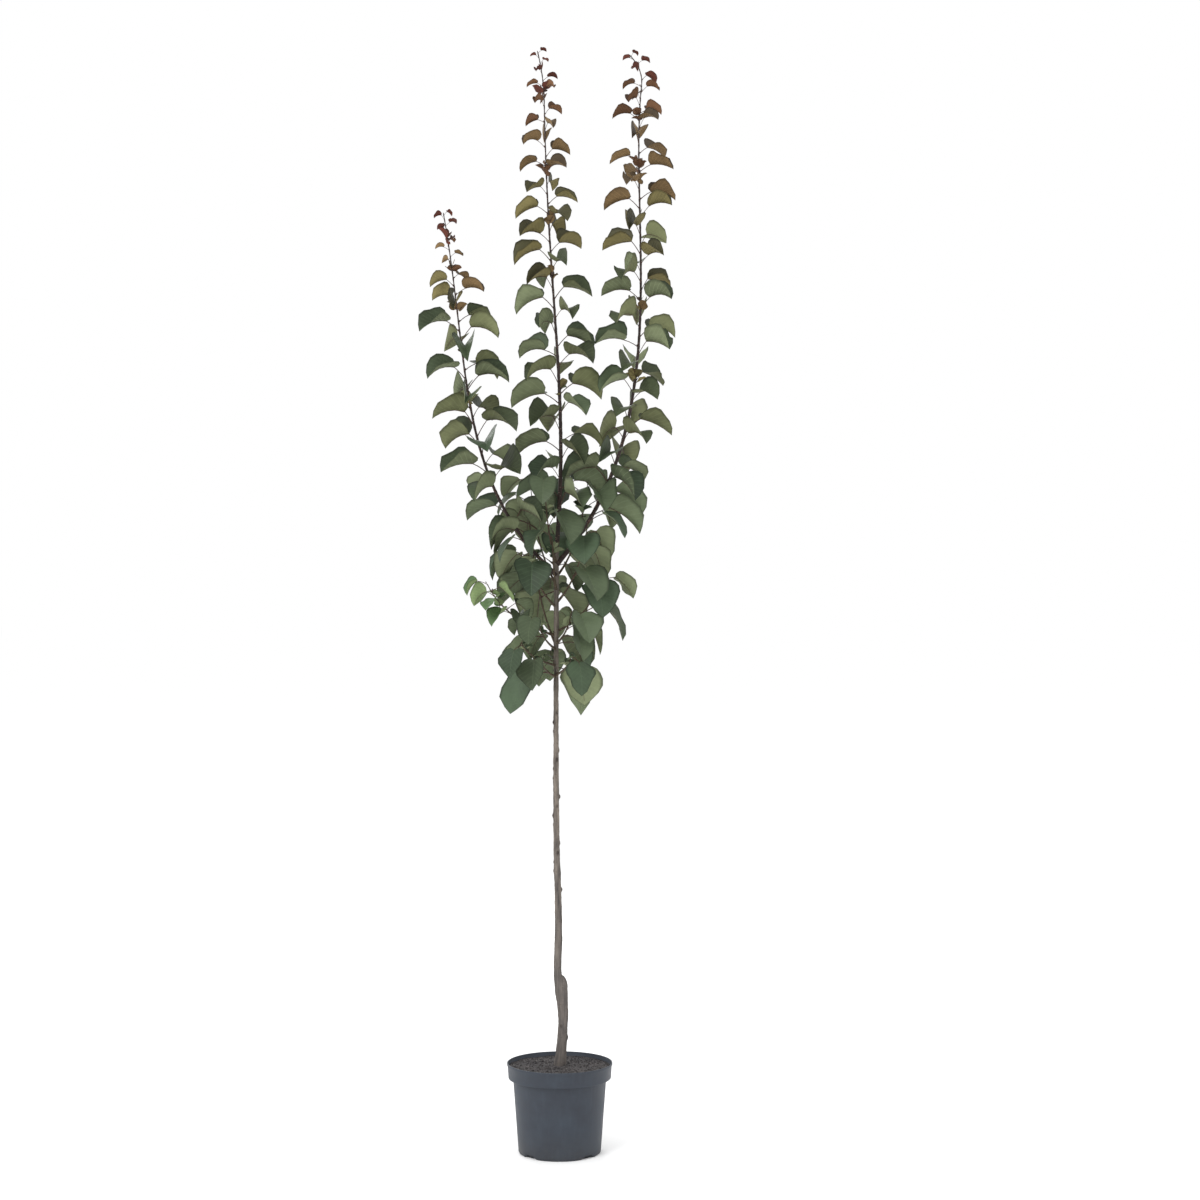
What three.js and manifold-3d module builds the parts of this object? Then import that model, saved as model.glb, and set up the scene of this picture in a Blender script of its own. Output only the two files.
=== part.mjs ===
// A young half-standard apricot tree in a round nursery pot: a short stock with the rounded shoulder
// of its graft, one clean straight stem, three upright leaders and a ruff of leafy shoots at the fork.
// Millimetres, +Z up. The origin is the middle of the pot's flat underside, and -Y is the front.

import * as THREE from 'three';
import { mergeVertices } from 'three/addons/utils/BufferGeometryUtils.js';
import Module from 'manifold-3d';

const wasm = await Module();
wasm.setup();

// Clearance between pieces that touch
const GAP = 0.3;

// Pot: a thin moulded wall with a stepped collar under the rim and drain arches round the foot
const POT_HEIGHT = 212;
const RIM_RADIUS = 125;
const COLLAR_DEPTH = 37;
const COLLAR_FOOT_RADIUS = 121.5;
const BODY_TOP_RADIUS = 110.5;
const FOOT_RADIUS = 97.5;
const FOOT_ROUND = 4;
const FOOT_EASE = 0.3;
const POT_WALL = 2.4;
const POT_SIDES = 36;
const ARCH_COUNT = 4;
const ARCH_WIDTH = 36;
const ARCH_HEIGHT = 8;
const ARCH_DEPTH = 9;

// Compost: fills the pot to a little below the rim and rises slightly to the stem
const COMPOST_BELOW_RIM = 10;
const COMPOST_RISE = 4;
const COMPOST_CROWN_RADIUS = 24;

// Stem: the stock with its root flare, then the grafted stem up to the fork
const GROUND = POT_HEIGHT - COMPOST_BELOW_RIM + COMPOST_RISE + GAP;
const STOCK_TOP = 418;
const STOCK_LEAN = 13;
const STOCK_TOP_LEAN = 6;
const STOCK_RADIUS = 11.5;
const FLARE = 4;
const FLARE_HEIGHT = 26;
const STOCK_DOME = 30;
const DOME_CLOSING = 0.9;
const GRAFT_HEIGHT = 340;
const GRAFT_BOW = 6;
const FORK_HEIGHT = 1425;
const STEM_OFFSET = -7.7;
const STEM_SIDES = 9;
const STEM_STEPS = 18;
const STOCK_STEPS = 14;
const HALVINGS = 40;

// The stem's course: height above the graft, how far it bows to the right as a share of GRAFT_BOW, radius
const STEM_COURSE = [
  [0, 2, 10.4],
  [80, 0.5, 9.6],
  [170, 0.8, 9],
  [400, 0, 7.3],
  [680, -0.17, 6],
  [FORK_HEIGHT - GRAFT_HEIGHT, 0, 5.8],
];

// Knots left by trimmed side buds, turning two fifths of a turn from one to the next
const KNOT_COUNT = 10;
const KNOT_FIRST = 621;
const KNOT_STEP = 44;
const KNOT_RADIUS = 4;
const KNOT_PROUD = 0.8;
const KNOT_SIDES = 6;

// Turn from each leaf or bud to the next one up its stem
const LEAF_TURN = THREE.MathUtils.degToRad(144);
const TURN_VARY = 0.6;

// Leaders: a cubic sweep from the fork to the tip. The bough is its bare foot, up to boughShare.
// Leaves grow from tipLeaf to full size over about the growing length, later where onset is higher.
const LEADERS = [
  {
    name: 'centre',
    from: [STEM_OFFSET, 0, FORK_HEIGHT + GAP],
    rise: [26, 20, 1836],
    bow: [-36, -20, 2022],
    tip: [-38, 0, 2608],
    nod: -15,
    radius: 5.4,
    boughShare: 0.06,
    firstTurn: 18,
    seed: 11,
    tipLeaf: 13,
    growing: 480,
    onset: 1,
  },
  {
    name: 'left',
    from: [STEM_OFFSET, 0, 1366],
    rise: [-243, -40, 1580],
    bow: [-206, -85, 1851],
    tip: [-268, -110, 2205],
    nod: 0,
    radius: 4.6,
    boughShare: 0.1,
    firstTurn: 54,
    seed: 23,
    tipLeaf: 20,
    growing: 240,
    onset: 3,
  },
  {
    name: 'right',
    from: [STEM_OFFSET, 0, 1392],
    rise: [307, 45, 1741],
    bow: [140, 90, 2287],
    tip: [207, 120, 2629],
    nod: -40,
    radius: 5.2,
    boughShare: 0.08,
    firstTurn: 30,
    seed: 37,
    tipLeaf: 13,
    growing: 420,
    onset: 0.7,
  },
];
const NOD_FROM = 0.93;
const LEAFLESS_FOOT = 0.01;
const LEADER_TIP_RADIUS = 0.9;
const LEADER_TAPER = 1.1;
const BOUGH_SIDES = 7;
const BOUGH_STEPS = 5;
const LEADER_SIDES = 5;
const LEADER_STEPS = 26;
const TIPWARD = 1.7;

// Shoots round the stem below the fork: height on the stem, compass turn, reach, rise and leaves
const SHOOTS = [
  { name: 'left_riser', height: 1200, turn: 155, reach: 75, rise: 340, leaves: 12, level: 0.9 },
  { name: 'left_young', height: 1222, turn: 192, reach: 165, rise: 122, leaves: 8, level: 0.6, young: true },
  { name: 'right', height: 1232, turn: 5, reach: 105, rise: 120, leaves: 7, level: 1 },
  { name: 'right_upper', height: 1300, turn: 340, reach: 80, rise: 190, leaves: 7, level: 1 },
  { name: 'front', height: 1330, turn: 262, reach: 60, rise: 120, leaves: 6, level: 1.2 },
  { name: 'front_left', height: 1290, turn: 215, reach: 85, rise: 150, leaves: 7, level: 1 },
  { name: 'back', height: 1268, turn: 95, reach: 105, rise: 200, leaves: 8, level: 1 },
  { name: 'back_right', height: 1362, turn: 42, reach: 100, rise: 230, leaves: 7, level: 0.9 },
  { name: 'back_left', height: 1344, turn: 132, reach: 95, rise: 240, leaves: 7, level: 0.9 },
  { name: 'fork_front', height: 1396, turn: 250, reach: 75, rise: 170, leaves: 6, level: 0.9 },
  { name: 'low_left', height: 1125, turn: 240, reach: 75, rise: 45, leaves: 3, level: 2 },
  { name: 'low_right', height: 1130, turn: 300, reach: 75, rise: 45, leaves: 3, level: 1.9 },
  { name: 'low_front', height: 1152, turn: 228, reach: 115, rise: 50, leaves: 2, level: 2 },
  { name: 'low_back', height: 1136, turn: 100, reach: 50, rise: 50, leaves: 3, level: 1.9 },
  { name: 'spur_left', height: 1190, turn: 240, reach: 85, rise: 70, leaves: 4, level: 1.5 },
  { name: 'spur_right', height: 1204, turn: 300, reach: 72, rise: 70, leaves: 4, level: 1.5 },
];
const SHOOT_SEED = 211;
const SHOOT_RADIUS = 2.6;
const SHOOT_TIP_RADIUS = 1;
const SHOOT_SIDES = 4;
const SHOOT_STEP = 30;
const ELBOW_REACH = 0.75;
const ELBOW_RISE = 0.3;
const SHOOT_BARE = 0.3;
const SHOOT_TIP_LEAF = 0.68;

// Leaf sizes: a leader's leaves grow to full size below its tip, and shade leaves are larger.
// A leader's lowest leaves go a LEADER_SHADE part of the way to shade leaves.
const LEAF_FULL = 86;
const LEAF_SHADE = 108;
const LEAF_YOUNG = 62;
const LEAF_VARY = 0.1;
const SHADE_FROM = 650;
const SHADE_OVER = 500;
const LEADER_SHADE = 0.3;
const INTERNODE_TIP = 12;
const INTERNODE_FULL = 22.5;
const INTERNODE_OVER = 250;
const BARE_TIP = 6;
const LEAF_HALF_WIDTH = 0.5;
const LEAF_SWELL = 0.6;
const LEAF_ROUND = 0.62;
const LEAF_LOBE = 0.06;
const LOBE_FADE = 3;
const LEAF_THICKNESS = 0.03;
const PETIOLE_SHARE = 0.46;
const PETIOLE_LEAST = 5;
const PETIOLE_THICKNESS = 0.014;
const PETIOLE_THINNEST = 0.3;
const ROLL_VARY = 2;
const BLADE_ROWS = [0.05, 0.32, 0.7];
const SMALL_LEAF = 32;
const SMALL_BLADE_ROWS = [0.08, 0.45];

// How a leaf is held, in degrees: petiole rise, slope of the midrib at foot and tip, fold of the halves.
// The habits run from sunlit leaves on the leaders through shade leaves to those that hang below.
const HABITS = [
  { rise: 42, lift: 8, droop: -46, fold: 52, vary: 16 },
  { rise: 26, lift: -36, droop: -82, fold: 20, vary: 14 },
  { rise: -12, lift: -58, droop: -86, fold: 10, vary: 12 },
];

// Leaves keep clear of each other and of every limb, and turn aside or are left out where they can't
const TRIES = 9;
const TRY_TURN = THREE.MathUtils.degToRad(18);
const SPOT_ROWS = 10;
const SPOT_SHARES = 4;
const PETIOLE_SPOTS = [0.3, 0.55, 0.8];
const NEAR_LENGTHS = 2;
const LEAF_CLEAR = 0.125;
const LIMB_CLEAR = 8;
const LIMB_SPACING = 8;
const STEM_ROOM = 7;

// No leaf hangs before the stem, which stays in view from the front up to its fork
const STEM_VIEW = 13;
const STEM_VIEW_TOP = 1440;

// Numbers that scramble a seed and a draw into a repeatable chance
const SEED_STEP = 12.9898;
const DRAW_STEP = 78.233;
const CHANCE_SPREAD = 43758.5453;

const BARK = new THREE.MeshStandardMaterial({ color: 0x7e7873, roughness: 0.8, metalness: 0 });
const YOUNG_BARK = new THREE.MeshStandardMaterial({ color: 0x4a3a34, roughness: 0.6, metalness: 0 });
const SUN_LEAF = new THREE.MeshStandardMaterial({ color: 0x6b7a58, roughness: 0.55, metalness: 0 });
const SHADE_LEAF = new THREE.MeshStandardMaterial({ color: 0x44573f, roughness: 0.5, metalness: 0 });
const POT_PLASTIC = new THREE.MeshStandardMaterial({ color: 0x4d5259, roughness: 0.6, metalness: 0 });
const COMPOST = new THREE.MeshStandardMaterial({ color: 0x3b3431, roughness: 1, metalness: 0 });

const UP = new THREE.Vector3(0, 0, 1);
const FRONT_TO_BACK = new THREE.Vector3(0, 1, 0);
const { clamp, degToRad, lerp } = THREE.MathUtils;

// Repeatable chance from 0 to 1 for draw k of a seed
function chance(seed, k) {
  const wave = Math.sin(seed * SEED_STEP + k * DRAW_STEP) * CHANCE_SPREAD;
  return wave - Math.floor(wave);
}

// A factor round 1 that differs by up to a share either way
function varied(share, seed) {
  return 1 + share * (2 * chance(seed, 7) - 1);
}

// Closed geometry to a solid, and back
function toSolid(geometry) {
  geometry.deleteAttribute('normal');
  geometry.deleteAttribute('uv');
  const merged = mergeVertices(geometry);
  return new wasm.Manifold(new wasm.Mesh({
    numProp: 3,
    vertProperties: new Float32Array(merged.attributes.position.array),
    triVerts: new Uint32Array(merged.index.array),
  }));
}

function toMesh(name, solid, material) {
  const { vertProperties, triVerts } = solid.getMesh();
  const geometry = new THREE.BufferGeometry();
  geometry.setAttribute('position', new THREE.BufferAttribute(vertProperties, 3));
  geometry.setIndex(new THREE.BufferAttribute(triVerts, 1));
  geometry.computeVertexNormals();
  const mesh = new THREE.Mesh(geometry, material);
  mesh.name = name;
  return mesh;
}

// The main body of a fused solid, with loose scraps dropped and sealed hollows filled
function mainBody(solid) {
  return solid.decompose().reduce((best, body) => (body.volume() > best.volume() ? body : best));
}

// A profile of [radius, height] pairs turned about the Z axis
function turned(profile) {
  const points = profile.map(([radius, height]) => new THREE.Vector2(radius, height));
  return toSolid(new THREE.LatheGeometry(points, POT_SIDES).rotateX(Math.PI / 2));
}

// A tapering limb: a cylinder whose rings are set square to the curve, or level on an upright stem
function limb(curve, radiusAt, sides, steps, across = FRONT_TO_BACK, level = false) {
  const geometry = new THREE.CylinderGeometry(1, 1, 1, sides, steps);
  const place = geometry.attributes.position;
  for (let i = 0; i < place.count; i += 1) {
    const spot = new THREE.Vector3().fromBufferAttribute(place, i);
    const share = clamp(spot.y + 0.5, 0, 1);
    const along = level ? UP : curve.getTangent(share);
    const back = across.clone().addScaledVector(along, -along.dot(across)).normalize();
    const side = along.clone().cross(back);
    const radius = radiusAt(share);
    const at = curve.getPoint(share);
    at.addScaledVector(side, spot.x * radius).addScaledVector(back, spot.z * radius);
    place.setXYZ(i, at.x, at.y, at.z);
  }
  return toSolid(geometry);
}

// Pot

function bodyRadius(height) {
  return lerp(FOOT_RADIUS, BODY_TOP_RADIUS, height / (POT_HEIGHT - COLLAR_DEPTH));
}

function potSolid() {
  const ledge = POT_HEIGHT - COLLAR_DEPTH;
  const lip = POT_WALL / 2;
  const shell = turned([
    [0, 0],
    [FOOT_RADIUS - FOOT_ROUND, 0],
    [FOOT_RADIUS - FOOT_ROUND * FOOT_EASE, FOOT_ROUND * FOOT_EASE],
    [bodyRadius(FOOT_ROUND), FOOT_ROUND],
    [BODY_TOP_RADIUS, ledge],
    [COLLAR_FOOT_RADIUS, ledge],
    [RIM_RADIUS, POT_HEIGHT - lip],
    [RIM_RADIUS - lip, POT_HEIGHT],
    [RIM_RADIUS - POT_WALL, POT_HEIGHT - lip],
    [COLLAR_FOOT_RADIUS - POT_WALL, ledge + POT_WALL],
    [BODY_TOP_RADIUS - POT_WALL, ledge + POT_WALL],
    [FOOT_RADIUS - POT_WALL, POT_WALL],
    [0, POT_WALL],
  ]);
  const arches = [];
  for (let k = 0; k < ARCH_COUNT; k += 1) {
    const arch = new THREE.BoxGeometry(2 * ARCH_DEPTH, ARCH_WIDTH, 2 * ARCH_HEIGHT);
    arch.translate(FOOT_RADIUS, 0, 0);
    arch.rotateZ(((k + 0.5) * 2 * Math.PI) / ARCH_COUNT);
    arches.push(toSolid(arch));
  }
  return shell.subtract(wasm.Manifold.union(arches));
}

function compostSolid() {
  const inside = POT_WALL + GAP;
  const ledge = POT_HEIGHT - COLLAR_DEPTH + POT_WALL + GAP;
  const top = POT_HEIGHT - COMPOST_BELOW_RIM;
  const collar = lerp(COLLAR_FOOT_RADIUS, RIM_RADIUS, (top - ledge) / COLLAR_DEPTH) - inside;
  return turned([
    [0, inside],
    [FOOT_RADIUS - inside, inside],
    [BODY_TOP_RADIUS - inside, ledge],
    [COLLAR_FOOT_RADIUS - inside, ledge],
    [collar, top],
    [COMPOST_CROWN_RADIUS, top + COMPOST_RISE],
    [0, top + COMPOST_RISE],
  ]);
}

// Stem

const stemCurve = new THREE.CatmullRomCurve3(STEM_COURSE.map(
  ([above, bow]) => new THREE.Vector3(STEM_OFFSET + bow * GRAFT_BOW, 0, GRAFT_HEIGHT + above),
));

function stemRadius(share) {
  const place = share * (STEM_COURSE.length - 1);
  const k = Math.min(Math.floor(place), STEM_COURSE.length - 2);
  return lerp(STEM_COURSE[k][2], STEM_COURSE[k + 1][2], place - k);
}

function stemSolid(extra) {
  const radiusAt = (share) => stemRadius(share) + extra;
  return limb(stemCurve, radiusAt, STEM_SIDES, STEM_STEPS, FRONT_TO_BACK, true);
}

function stockSolid() {
  const tall = STOCK_TOP - GROUND;
  const curve = new THREE.QuadraticBezierCurve3(
    new THREE.Vector3(0, 0, GROUND),
    new THREE.Vector3(STOCK_LEAN, 0, GROUND + tall / 2),
    new THREE.Vector3(STOCK_TOP_LEAN, 0, STOCK_TOP),
  );
  const radiusAt = (share) => {
    const flare = FLARE * Math.exp((-share * tall) / FLARE_HEIGHT);
    const dome = clamp(1 - ((1 - share) * tall) / STOCK_DOME, 0, DOME_CLOSING);
    return (STOCK_RADIUS + flare) * Math.sqrt(1 - dome * dome);
  };
  return limb(curve, radiusAt, STEM_SIDES, STOCK_STEPS, FRONT_TO_BACK, true);
}

// Share of the stem's curve that lies below a height
function heightShare(height) {
  let low = 0;
  let high = 1;
  for (let i = 0; i < HALVINGS; i += 1) {
    const middle = (low + high) / 2;
    if (stemCurve.getPoint(middle).z < height) {
      low = middle;
    } else {
      high = middle;
    }
  }
  return low;
}

function trunkSolid() {
  const pieces = [stemSolid(0), stockSolid()];
  for (let k = 0; k < KNOT_COUNT; k += 1) {
    const height = KNOT_FIRST + k * KNOT_STEP;
    const share = heightShare(height);
    const reach = stemRadius(share) + KNOT_PROUD - KNOT_RADIUS / 2;
    const at = stemCurve.getPoint(share);
    const knot = new THREE.SphereGeometry(KNOT_RADIUS, KNOT_SIDES, KNOT_SIDES / 2);
    knot.translate(at.x + reach * Math.cos(k * LEAF_TURN), at.y + reach * Math.sin(k * LEAF_TURN), at.z);
    pieces.push(toSolid(knot));
  }
  return mainBody(wasm.Manifold.union(pieces));
}

// Leaders and boughs

class LeaderPath extends THREE.Curve {
  constructor(leader) {
    super();
    const corners = [leader.from, leader.rise, leader.bow, leader.tip];
    this.sweep = new THREE.CubicBezierCurve3(...corners.map((corner) => new THREE.Vector3(...corner)));
    this.nod = leader.nod;
  }

  getPoint(share, target = new THREE.Vector3()) {
    const past = Math.max(0, (share - NOD_FROM) / (1 - NOD_FROM));
    this.sweep.getPoint(share, target);
    target.x += this.nod * past * past;
    return target;
  }
}

// A stretch of a leader between two shares of it, with its rings set closer together towards the tip
class LeaderStretch extends THREE.Curve {
  constructor(leader, start, end) {
    super();
    this.leader = leader;
    this.start = start;
    this.end = end;
  }

  shareAt(share) {
    return lerp(this.start, this.end, 1 - (1 - share) ** TIPWARD);
  }

  getPoint(share, target = new THREE.Vector3()) {
    return this.leader.path.getPoint(this.shareAt(share), target);
  }

  radiusAt(share) {
    return leaderRadius(this.leader, this.shareAt(share));
  }
}

function leaderRadius(leader, share) {
  return lerp(LEADER_TIP_RADIUS, leader.radius, (1 - share) ** LEADER_TAPER);
}

function leaderLimb(leader, start, end, sides, steps) {
  const stretch = new LeaderStretch(leader, start, end);
  return limb(stretch, (share) => stretch.radiusAt(share), sides, steps);
}

// A shoot springs from the middle of the stem, leans out and then turns upwards
function shootPath(shoot) {
  const from = stemCurve.getPoint(heightShare(shoot.height));
  const turn = degToRad(shoot.turn);
  const step = (reach, rise) => new THREE.Vector3(
    from.x + shoot.reach * reach * Math.cos(turn),
    from.y + shoot.reach * reach * Math.sin(turn),
    from.z + shoot.rise * rise,
  );
  return new THREE.QuadraticBezierCurve3(from, step(ELBOW_REACH, ELBOW_RISE), step(1, 1));
}

function shootLimb(shoot) {
  const turn = degToRad(shoot.turn);
  const across = new THREE.Vector3(-Math.sin(turn), Math.cos(turn), 0);
  const radiusAt = (share) => lerp(SHOOT_RADIUS, SHOOT_TIP_RADIUS, share);
  return limb(shoot.path, radiusAt, SHOOT_SIDES, Math.ceil(shoot.path.getLength() / SHOOT_STEP), across);
}

// Leaves

// Half width of a blade along its midrib, as a share of the widest
function outline(v) {
  return Math.sin(Math.PI * v ** LEAF_SWELL) ** LEAF_ROUND;
}

class Leaf {
  constructor(root, turn, length, habit, seed) {
    const vary = (k) => habit.vary * (2 * chance(seed, k) - 1);
    const petiole = PETIOLE_SHARE * length + PETIOLE_LEAST;
    const rise = degToRad(habit.rise + vary(1));
    this.length = length;
    this.root = root;
    this.out = new THREE.Vector3(Math.cos(turn), Math.sin(turn), 0);
    this.level = new THREE.Vector3(-Math.sin(turn), Math.cos(turn), 0);
    this.foot = root.clone().addScaledVector(this.out, petiole * Math.cos(rise));
    this.foot.addScaledVector(UP, petiole * Math.sin(rise));
    this.lift = degToRad(habit.lift + vary(2));
    this.bend = degToRad(habit.droop + vary(3)) - this.lift;
    this.fold = degToRad(habit.fold + vary(4));
    this.roll = degToRad(ROLL_VARY * vary(5));
  }

  midrib(v) {
    const slope = this.lift + this.bend * v;
    const reach = (Math.sin(slope) - Math.sin(this.lift)) / this.bend;
    const climb = (Math.cos(this.lift) - Math.cos(slope)) / this.bend;
    const at = this.foot.clone().addScaledVector(this.out, this.length * reach);
    return at.addScaledVector(UP, this.length * climb);
  }

  // Directions at v: along the midrib, level across the blade, and square to its upper face
  axes(v) {
    const slope = this.lift + this.bend * v;
    const along = this.out.clone().multiplyScalar(Math.cos(slope)).addScaledVector(UP, Math.sin(slope));
    const square = this.out.clone().multiplyScalar(-Math.sin(slope)).addScaledVector(UP, Math.cos(slope));
    const across = this.level.clone().multiplyScalar(Math.cos(this.roll));
    across.addScaledVector(square, Math.sin(this.roll));
    const face = square.multiplyScalar(Math.cos(this.roll)).addScaledVector(this.level, -Math.sin(this.roll));
    return { along, across, face };
  }

  // Point of the blade at v along it and at a share of its half width, from -1 to 1
  blade(v, share) {
    const { along, across, face } = this.axes(v);
    const wide = this.length * LEAF_HALF_WIDTH * outline(v) * share;
    const lobe = this.length * LEAF_LOBE * Math.abs(share) * (1 - v) ** LOBE_FADE;
    const at = this.midrib(v).addScaledVector(across, wide * Math.cos(this.fold));
    at.addScaledVector(face, Math.abs(wide) * Math.sin(this.fold));
    return at.addScaledVector(along, -lobe);
  }

  // A net of points over the blade, with a few on the petiole
  spots() {
    const spots = PETIOLE_SPOTS.map((share) => this.root.clone().lerp(this.foot, share));
    for (let row = 0; row <= SPOT_ROWS; row += 1) {
      for (let share = -SPOT_SHARES; share <= SPOT_SHARES; share += 1) {
        spots.push(this.blade(row / SPOT_ROWS, share / SPOT_SHARES));
      }
    }
    return spots;
  }

  // A four-sided spindle: petiole, then a blade whose sides are its margins and its midrib's two faces
  solid() {
    const bladeRows = this.length < SMALL_LEAF ? SMALL_BLADE_ROWS : BLADE_ROWS;
    const rows = bladeRows.length + 2;
    const geometry = new THREE.CylinderGeometry(0, 1, 1, 4, rows);
    const place = geometry.attributes.position;
    for (let i = 0; i < place.count; i += 1) {
      const corner = new THREE.Vector3().fromBufferAttribute(place, i);
      const row = Math.round((corner.y + 0.5) * rows);
      const side = Math.abs(corner.x) > Math.abs(corner.z) ? -Math.sign(corner.x) : 0;
      const rim = Math.abs(corner.z) > Math.abs(corner.x) ? Math.sign(corner.z) : 0;
      const at = row < 2 ? this.stalkCorner(row, side, rim) : this.bladeCorner(bladeRows[row - 2], side, rim);
      place.setXYZ(i, at.x, at.y, at.z);
    }
    return toSolid(geometry);
  }

  stalkCorner(row, side, rim) {
    const { across, face } = this.axes(0);
    const radius = this.length * PETIOLE_THICKNESS + PETIOLE_THINNEST;
    const at = (row === 0 ? this.root : this.foot).clone();
    return at.addScaledVector(across, side * radius).addScaledVector(face, rim * radius);
  }

  // The spindle's last row has no place among the blade rows: it is the leaf's tip
  bladeCorner(v = 1, side, rim) {
    if (v < 1 && side !== 0) {
      return this.blade(v, side);
    }
    const half = v < 1 ? (this.length * LEAF_THICKNESS) / 2 : 0;
    return this.midrib(v).addScaledVector(this.axes(v).face, rim * half);
  }
}

// Points along every limb, and the leaves placed so far
const limbSpots = [];
const placedLeaves = [];

function addLimbSpots(curve, radiusAt, owner) {
  const count = Math.ceil(curve.getLength() / LIMB_SPACING);
  for (let i = 0; i <= count; i += 1) {
    limbSpots.push({ at: curve.getPoint(i / count), radius: radiusAt(i / count), owner });
  }
}

function hidesStem(spot) {
  return spot.y < 0 && spot.z < STEM_VIEW_TOP && Math.abs(spot.x - STEM_OFFSET) < STEM_VIEW;
}

function isClear(leaf, spots, owner) {
  if (spots.some(hidesStem)) {
    return false;
  }
  for (const limbSpot of limbSpots) {
    if (limbSpot.owner === owner) {
      continue;
    }
    const least = limbSpot.radius + LIMB_CLEAR;
    if (spots.some((spot) => spot.distanceTo(limbSpot.at) < least)) {
      return false;
    }
  }
  for (const other of placedLeaves) {
    const least = (LEAF_CLEAR * (leaf.length + other.length)) / 2;
    if (leaf.foot.distanceTo(other.foot) > NEAR_LENGTHS * (leaf.length + other.length)) {
      continue;
    }
    if (spots.some((spot) => other.spots.some((taken) => spot.distanceTo(taken) < least))) {
      return false;
    }
  }
  return true;
}

// Places a leaf where it is clear, turning it aside if need be, and gives its solid or nothing
function placeLeaf(root, turn, length, habit, seed, owner) {
  for (let attempt = 0; attempt < TRIES; attempt += 1) {
    const aside = Math.ceil(attempt / 2) * (attempt % 2 ? TRY_TURN : -TRY_TURN);
    const leaf = new Leaf(root, turn + aside, length, habit, seed + attempt / TRIES);
    const spots = leaf.spots();
    if (isClear(leaf, spots, owner)) {
      placedLeaves.push({ foot: leaf.foot, length, spots });
      return [leaf.solid()];
    }
  }
  return [];
}

// The habit at a level, where whole levels are the habits listed and others lie between two of them
function habitAt(level) {
  const lower = HABITS[Math.floor(level)];
  const upper = HABITS[Math.ceil(level)];
  const mixed = {};
  for (const key of Object.keys(lower)) {
    mixed[key] = lerp(lower[key], upper[key], level % 1);
  }
  return mixed;
}

function leaderLeaves(leader) {
  const whole = leader.path.getLength();
  const foot = leader.boughShare + LEAFLESS_FOOT;
  const leaves = [];
  let below = BARE_TIP;
  for (let k = 0; below < whole; k += 1) {
    const share = leader.path.getUtoTmapping(1 - below / whole);
    if (share < foot) {
      break;
    }
    const grown = Math.tanh((below / leader.growing) ** leader.onset);
    const shade = LEADER_SHADE * clamp((below - SHADE_FROM) / SHADE_OVER, 0, 1);
    const length = lerp(leader.tipLeaf, LEAF_FULL, grown) + shade * (LEAF_SHADE - LEAF_FULL);
    const seed = leader.seed + k;
    const turn = degToRad(leader.firstTurn) + k * LEAF_TURN + TURN_VARY * (chance(seed, 6) - 0.5);
    const size = length * varied(LEAF_VARY, seed);
    leaves.push(...placeLeaf(leader.path.getPoint(share), turn, size, habitAt(shade), seed, leader));
    below += lerp(INTERNODE_TIP, INTERNODE_FULL, Math.min(1, below / INTERNODE_OVER));
  }
  return leaves;
}

function shootLeaves(shoot) {
  const full = shoot.young ? LEAF_YOUNG : LEAF_SHADE;
  const habit = habitAt(shoot.level);
  const leaves = [];
  for (let k = 0; k < shoot.leaves; k += 1) {
    const share = lerp(1, SHOOT_BARE, k / (shoot.leaves - 1));
    const length = full * lerp(SHOOT_TIP_LEAF, 1, Math.sqrt(1 - share));
    const seed = SHOOT_SEED + shoot.height + k;
    const turn = degToRad(shoot.turn) + k * LEAF_TURN + TURN_VARY * (chance(seed, 6) - 0.5);
    const size = length * varied(LEAF_VARY, seed);
    leaves.push(...placeLeaf(shoot.path.getPoint(share), turn, size, habit, seed, shoot));
  }
  return leaves;
}

// The tree

for (const leader of LEADERS) {
  leader.path = new LeaderPath(leader);
  addLimbSpots(leader.path, (share) => leaderRadius(leader, share), leader);
}
for (const shoot of SHOOTS) {
  shoot.path = shootPath(shoot);
  addLimbSpots(shoot.path, () => SHOOT_RADIUS, shoot);
}
addLimbSpots(stemCurve, () => STEM_ROOM, stemCurve);

const group = new THREE.Group();
group.add(toMesh('pot', potSolid(), POT_PLASTIC));
group.add(toMesh('compost', compostSolid(), COMPOST));
group.add(toMesh('trunk', trunkSolid(), BARK));

const stemClearance = stemSolid(GAP).translate([0, 0, GAP]);
for (const leader of LEADERS) {
  const { boughShare } = leader;
  const seam = (2 * GAP) / leader.path.getLength();
  const bough = leaderLimb(leader, 0, boughShare, BOUGH_SIDES, BOUGH_STEPS).subtract(stemClearance);
  const stem = leaderLimb(leader, boughShare + seam, 1, LEADER_SIDES, LEADER_STEPS);
  const foliage = mainBody(wasm.Manifold.union([stem, ...leaderLeaves(leader)]));
  group.add(toMesh(`${leader.name}_bough`, mainBody(bough), YOUNG_BARK));
  group.add(toMesh(`${leader.name}_leader_foliage`, foliage, SUN_LEAF));
}
for (const shoot of SHOOTS) {
  const fused = wasm.Manifold.union([shootLimb(shoot), ...shootLeaves(shoot)]);
  group.add(toMesh(`${shoot.name}_shoot_foliage`, mainBody(fused.subtract(stemClearance)), SHADE_LEAF));
}

export default group;
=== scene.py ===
import math

import bmesh
import bpy
import numpy as np
from mathutils import Matrix, Vector, noise


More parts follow.
